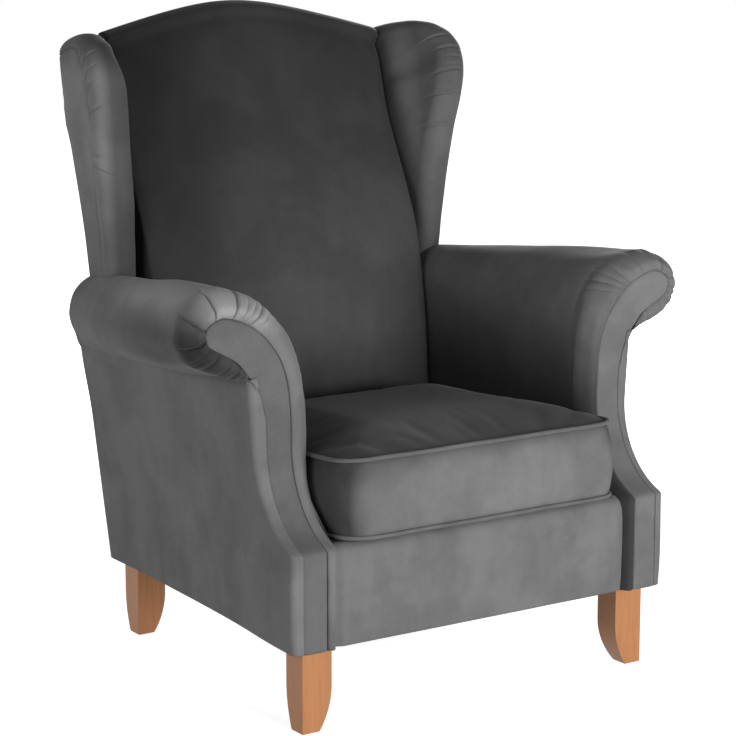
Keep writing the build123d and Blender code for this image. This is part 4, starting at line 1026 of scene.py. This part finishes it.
def planPoints(outset, stepCount):
    # rounded plan of the cushion, outset by a distance
    corners = (
        (cushion["right"], cushion["front"], cushion["frontRound"], -90),
        (cushion["right"], cushion["rear"], cushion["rearRound"], 0),
        (-cushion["left"], cushion["rear"], cushion["rearRound"], 90),
        (-cushion["left"], cushion["front"], cushion["frontRound"], 180),
    )
    spots = []
    for x, y, radius, start in corners:
        cx = x - radius if x > 0 else x + radius
        cy = y + radius if y < 0 else y - radius
        for k in range(stepCount + 1):
            angle = radians(start + 90 * k / stepCount)
            spots.append((cx + (radius + outset) * cos(angle), cy + (radius + outset) * sin(angle)))
    return spots


def planInset(x, y):
    # how far a point of the plan lies inside the cushion's edge
    dx = min(cushion["right"] - x, x + cushion["left"])
    front, rear = y - cushion["front"], cushion["rear"] - y
    dy, radius = (front, cushion["frontRound"]) if front < rear else (rear, cushion["rearRound"])
    if dx < radius and dy < radius:
        return radius - hypot(radius - dx, radius - dy)
    return min(dx, dy)


def plump(spot):
    # the boxed block with a crowned top and full sides
    x, y, height = chairToSeat(spot)
    inset = planInset(x, y)
    rise = cushion["crown"] * (1 - (1 - min(max(inset, 0.0) / cushion["crownRun"], 1.0)) ** 2.3)
    lift = rise * ease(cushion["box"] * 0.6, cushion["box"], height)
    step = 0.002
    out = Vector((
        planInset(x - step, y) - planInset(x + step, y), planInset(x, y - step) - planInset(x, y + step),
    ))
    out = out.normalized() if out.length > 0.001 else Vector((0.0, 0.0))
    full = between(cushion["bulge"], cushion["frontBulge"], max(-out.y, 0.0))
    full *= sin(pi * min(max(height / cushion["box"], 0.0), 1.0)) * (1 - ease(0.0, 0.05, inset))
    return seatToChair(x + out.x * full, y + out.y * full, height + lift)


def makeCushion(name):
    shape = bmesh.new()
    ring = [shape.verts.new(seatToChair(x, y, 0.001)) for x, y in planPoints(0.0, 10)]
    base = shape.faces.new(ring)
    lifted = bmesh.ops.extrude_face_region(shape, geom=[base])
    up = seatToChair(0, 0, cushion["box"] - 0.001) - seatToChair(0, 0, 0)
    bmesh.ops.translate(shape, vec=up, verts=[g for g in lifted["geom"] if isinstance(g, bmesh.types.BMVert)])
    bmesh.ops.recalc_face_normals(shape, faces=shape.faces)
    start = makePiece("cushionStart", shape)
    cut = start.modifiers.new("even", "REMESH")
    cut.mode, cut.voxel_size = "VOXEL", cushion["voxel"]
    even = asMesh(start)
    start.modifiers.clear()
    start.data = even
    pins = start.vertex_groups.new(name="pins")
    for v in even.vertices:
        x, y, height = chairToSeat(v.co)
        edge = planInset(x, y)
        seam = 1 - ease(0.003, 0.010, hypot(edge, min(height, cushion["box"] - height)))
        hold = 1.0 if height < 0.004 else seam
        if hold > 0:
            pins.add([v.index], hold, "REPLACE")
        v.co = plump(v.co)
    first = [v.co.copy() for v in even.vertices]
    cloth = start.modifiers.new("blow", "CLOTH")
    for setting, value in cushion["cloth"].items():
        setattr(cloth.settings, setting, value)
    cloth.settings.effector_weights.gravity = 0
    cloth.collision_settings.use_collision = False
    cloth.point_cache.frame_start, cloth.point_cache.frame_end = 1, cushion["frames"]
    for number in range(1, cushion["frames"] + 1):
        scene.frame_set(number)
    blown = asMesh(start)
    scene.frame_set(1)
    start.modifiers.clear()
    start.data = blown
    most = 0.0
    for v, old in zip(blown.vertices, first):
        move = v.co - old
        most = max(most, move.length)
        if move.length > cushion["most"]:
            move *= cushion["most"] / move.length
        v.co = old + move
    print("cushion blown up, most", round(most * 1000, 1), "mm")
    shape = bmesh.new()
    shape.from_mesh(start.data)
    bpy.data.objects.remove(start)
    for _ in range(3):
        bmesh.ops.smooth_vert(
            shape, verts=shape.verts, factor=0.5, use_axis_x=True, use_axis_y=True, use_axis_z=True,
        )
    piece = makePiece(name, shape)
    finer = piece.modifiers.new("smooth", "SUBSURF")
    finer.levels = finer.render_levels = 1
    return piece


piping = {"radius": 0.0034, "out": 0.0022, "spacing": 0.03, "wave": 0.0012, "sway": 0.0030}


def makePiping(name, height, seed):
    curve = bpy.data.curves.new(name, "CURVE")
    curve.dimensions = "3D"
    curve.bevel_depth, curve.bevel_resolution = piping["radius"], 3
    spots = planPoints(piping["out"], 6)
    dense = []
    for (xa, ya), (xb, yb) in zip(spots, spots[1:] + spots[:1]):
        parts = max(1, int(hypot(xb - xa, yb - ya) / piping["spacing"]))
        dense += [(xa + (xb - xa) * k / parts, ya + (yb - ya) * k / parts) for k in range(parts)]
    line = curve.splines.new("NURBS")
    line.points.add(len(dense) - 1)
    for point, (x, y) in zip(line.points, dense):
        wave = piping["wave"] * waver(x * 13, y * 13, seed)
        sway = piping["sway"] * waver(y * 11, x * 11, seed + 2)
        point.co = (*seatToChair(x * (1 + sway), y * (1 + sway), height + wave), 1)
    line.use_cyclic_u = True
    line.order_u = 3
    line.resolution_u = 4
    cord = newObject(name + "Line", curve)
    mesh = asMesh(cord)
    bpy.data.objects.remove(cord)
    shape = bmesh.new()
    shape.from_mesh(mesh)
    return makePiece(name, shape)


piece = makeCushion("seatCushion")
dressPiece(piece, velvets["cushion"], "cushion_cover", "cushion_core", body="cushion")
for label, height, seed in (("Top", cushion["box"], 61.0), ("Bottom", 0.004, 62.0)):
    piece = makePiping("cushionPiping" + label, height, seed)
    replaced = "cushion_piping_" + label.lower()
    dressPiece(piece, velvets["piping"], replaced, slot="piping", body="cushion")
print("cushion made")


# legs, with eased edges

leg = {"edge": 0.0018, "segments": 2}
for name in ("right_front_leg", "left_front_leg", "right_rear_leg", "left_rear_leg"):
    shape = nodeShape(name)
    easeEdges(shape, leg["edge"], leg["segments"], radians(35))
    piece = makePiece(name.replace("_leg", "Leg").replace("_", ""), shape, smooth=False)
    dressPiece(piece, legWood, name, slot="leg_wood")
print("legs made")


# floor, light and camera

studio = {
    "floor": 9.0, "floorDark": (0.84, 0.84, 0.84), "floorLight": (0.88, 0.88, 0.88),
    "glow": 0.80, "farGlow": 1.3, "glowRun": (0.8, 2.2), "world": 0.075,
    "lamps": {  # place, aim, size, power
        "keyLamp": ((0.3, -3.4, 0.62), (0.0, 0.0, 0.45), 1.4, 104.0),
        "fillLamp": ((-3.2, -0.6, 1.5), (0.0, 0.0, 0.5), 1.6, 36.0),
        "rearLamp": ((2.6, 2.6, 1.5), (0.0, 0.0, 0.5), 1.6, 85.0),
    },
    "camera": (-2.26656, -3.46484, 1.30464), "azimuth": radians(33.54), "elevation": radians(11.29),
    "focal": 2494.1, "image": 736, "sensor": 36.0,  # focal length and image in pixels, sensor in mm
}

shape = bmesh.new()
bmesh.ops.create_grid(shape, x_segments=1, y_segments=1, size=studio["floor"])
floor = makePiece("floor", shape)
kit = Finish("floor_white")
grit = kit.clouds(3.0, 2.0, 0.5, kit.place())
seen = kit.seenDirectly()
pale = kit.blendColour(studio["floorDark"], studio["floorLight"], grit)
matte = kit.add("BsdfDiffuse", None, {"Color": pale})
where = kit.add("TexCoord", output=3)
far = kit.add("VectorMath", {"operation": "LENGTH"}, {0: where}, output=1)
bright = kit.ramp(far, *studio["glowRun"], studio["glow"], studio["farGlow"])
glow = kit.add("Emission", None, {"Color": (1, 1, 1, 1), "Strength": seen * bright})
both = kit.add("AddShader", None, {0: matte, 1: glow})
kit.add("OutputMaterial", None, {"Surface": both})
floor.data.materials.append(kit.owner)

kit = Finish("studio", bpy.data.worlds)
strength = kit.add(
    "MapRange", None, {"Value": kit.seenDirectly(), "To Min": studio["world"], "To Max": 1.0},
)
sky = kit.add("Background", None, {"Color": (1, 1, 1, 1), "Strength": strength})
kit.add("OutputWorld", None, {"Surface": sky})
scene.world = kit.owner


def putUp(name, data, spot, direction):
    holder = newObject(name, data)
    holder.location = spot
    holder.rotation_mode = "QUATERNION"
    holder.rotation_quaternion = direction.to_track_quat("-Z", "Y")
    return holder


for name, (spot, aim, size, power) in studio["lamps"].items():
    lamp = bpy.data.lights.new(name, "AREA")
    lamp.shape, lamp.size, lamp.energy = "SQUARE", size, power
    putUp(name, lamp, spot, Vector(aim) - Vector(spot))

camera = bpy.data.cameras.new("camera")
camera.sensor_fit = "HORIZONTAL"
camera.sensor_width = studio["sensor"]
camera.lens = studio["focal"] / studio["image"] * studio["sensor"]
azimuth, elevation = studio["azimuth"], studio["elevation"]
look = Vector((sin(azimuth) * cos(elevation), cos(azimuth) * cos(elevation), -sin(elevation)))
viewer = putUp("camera", camera, studio["camera"], look)
scene.camera = viewer
scene.view_settings.view_transform = "Standard"
print("studio made")
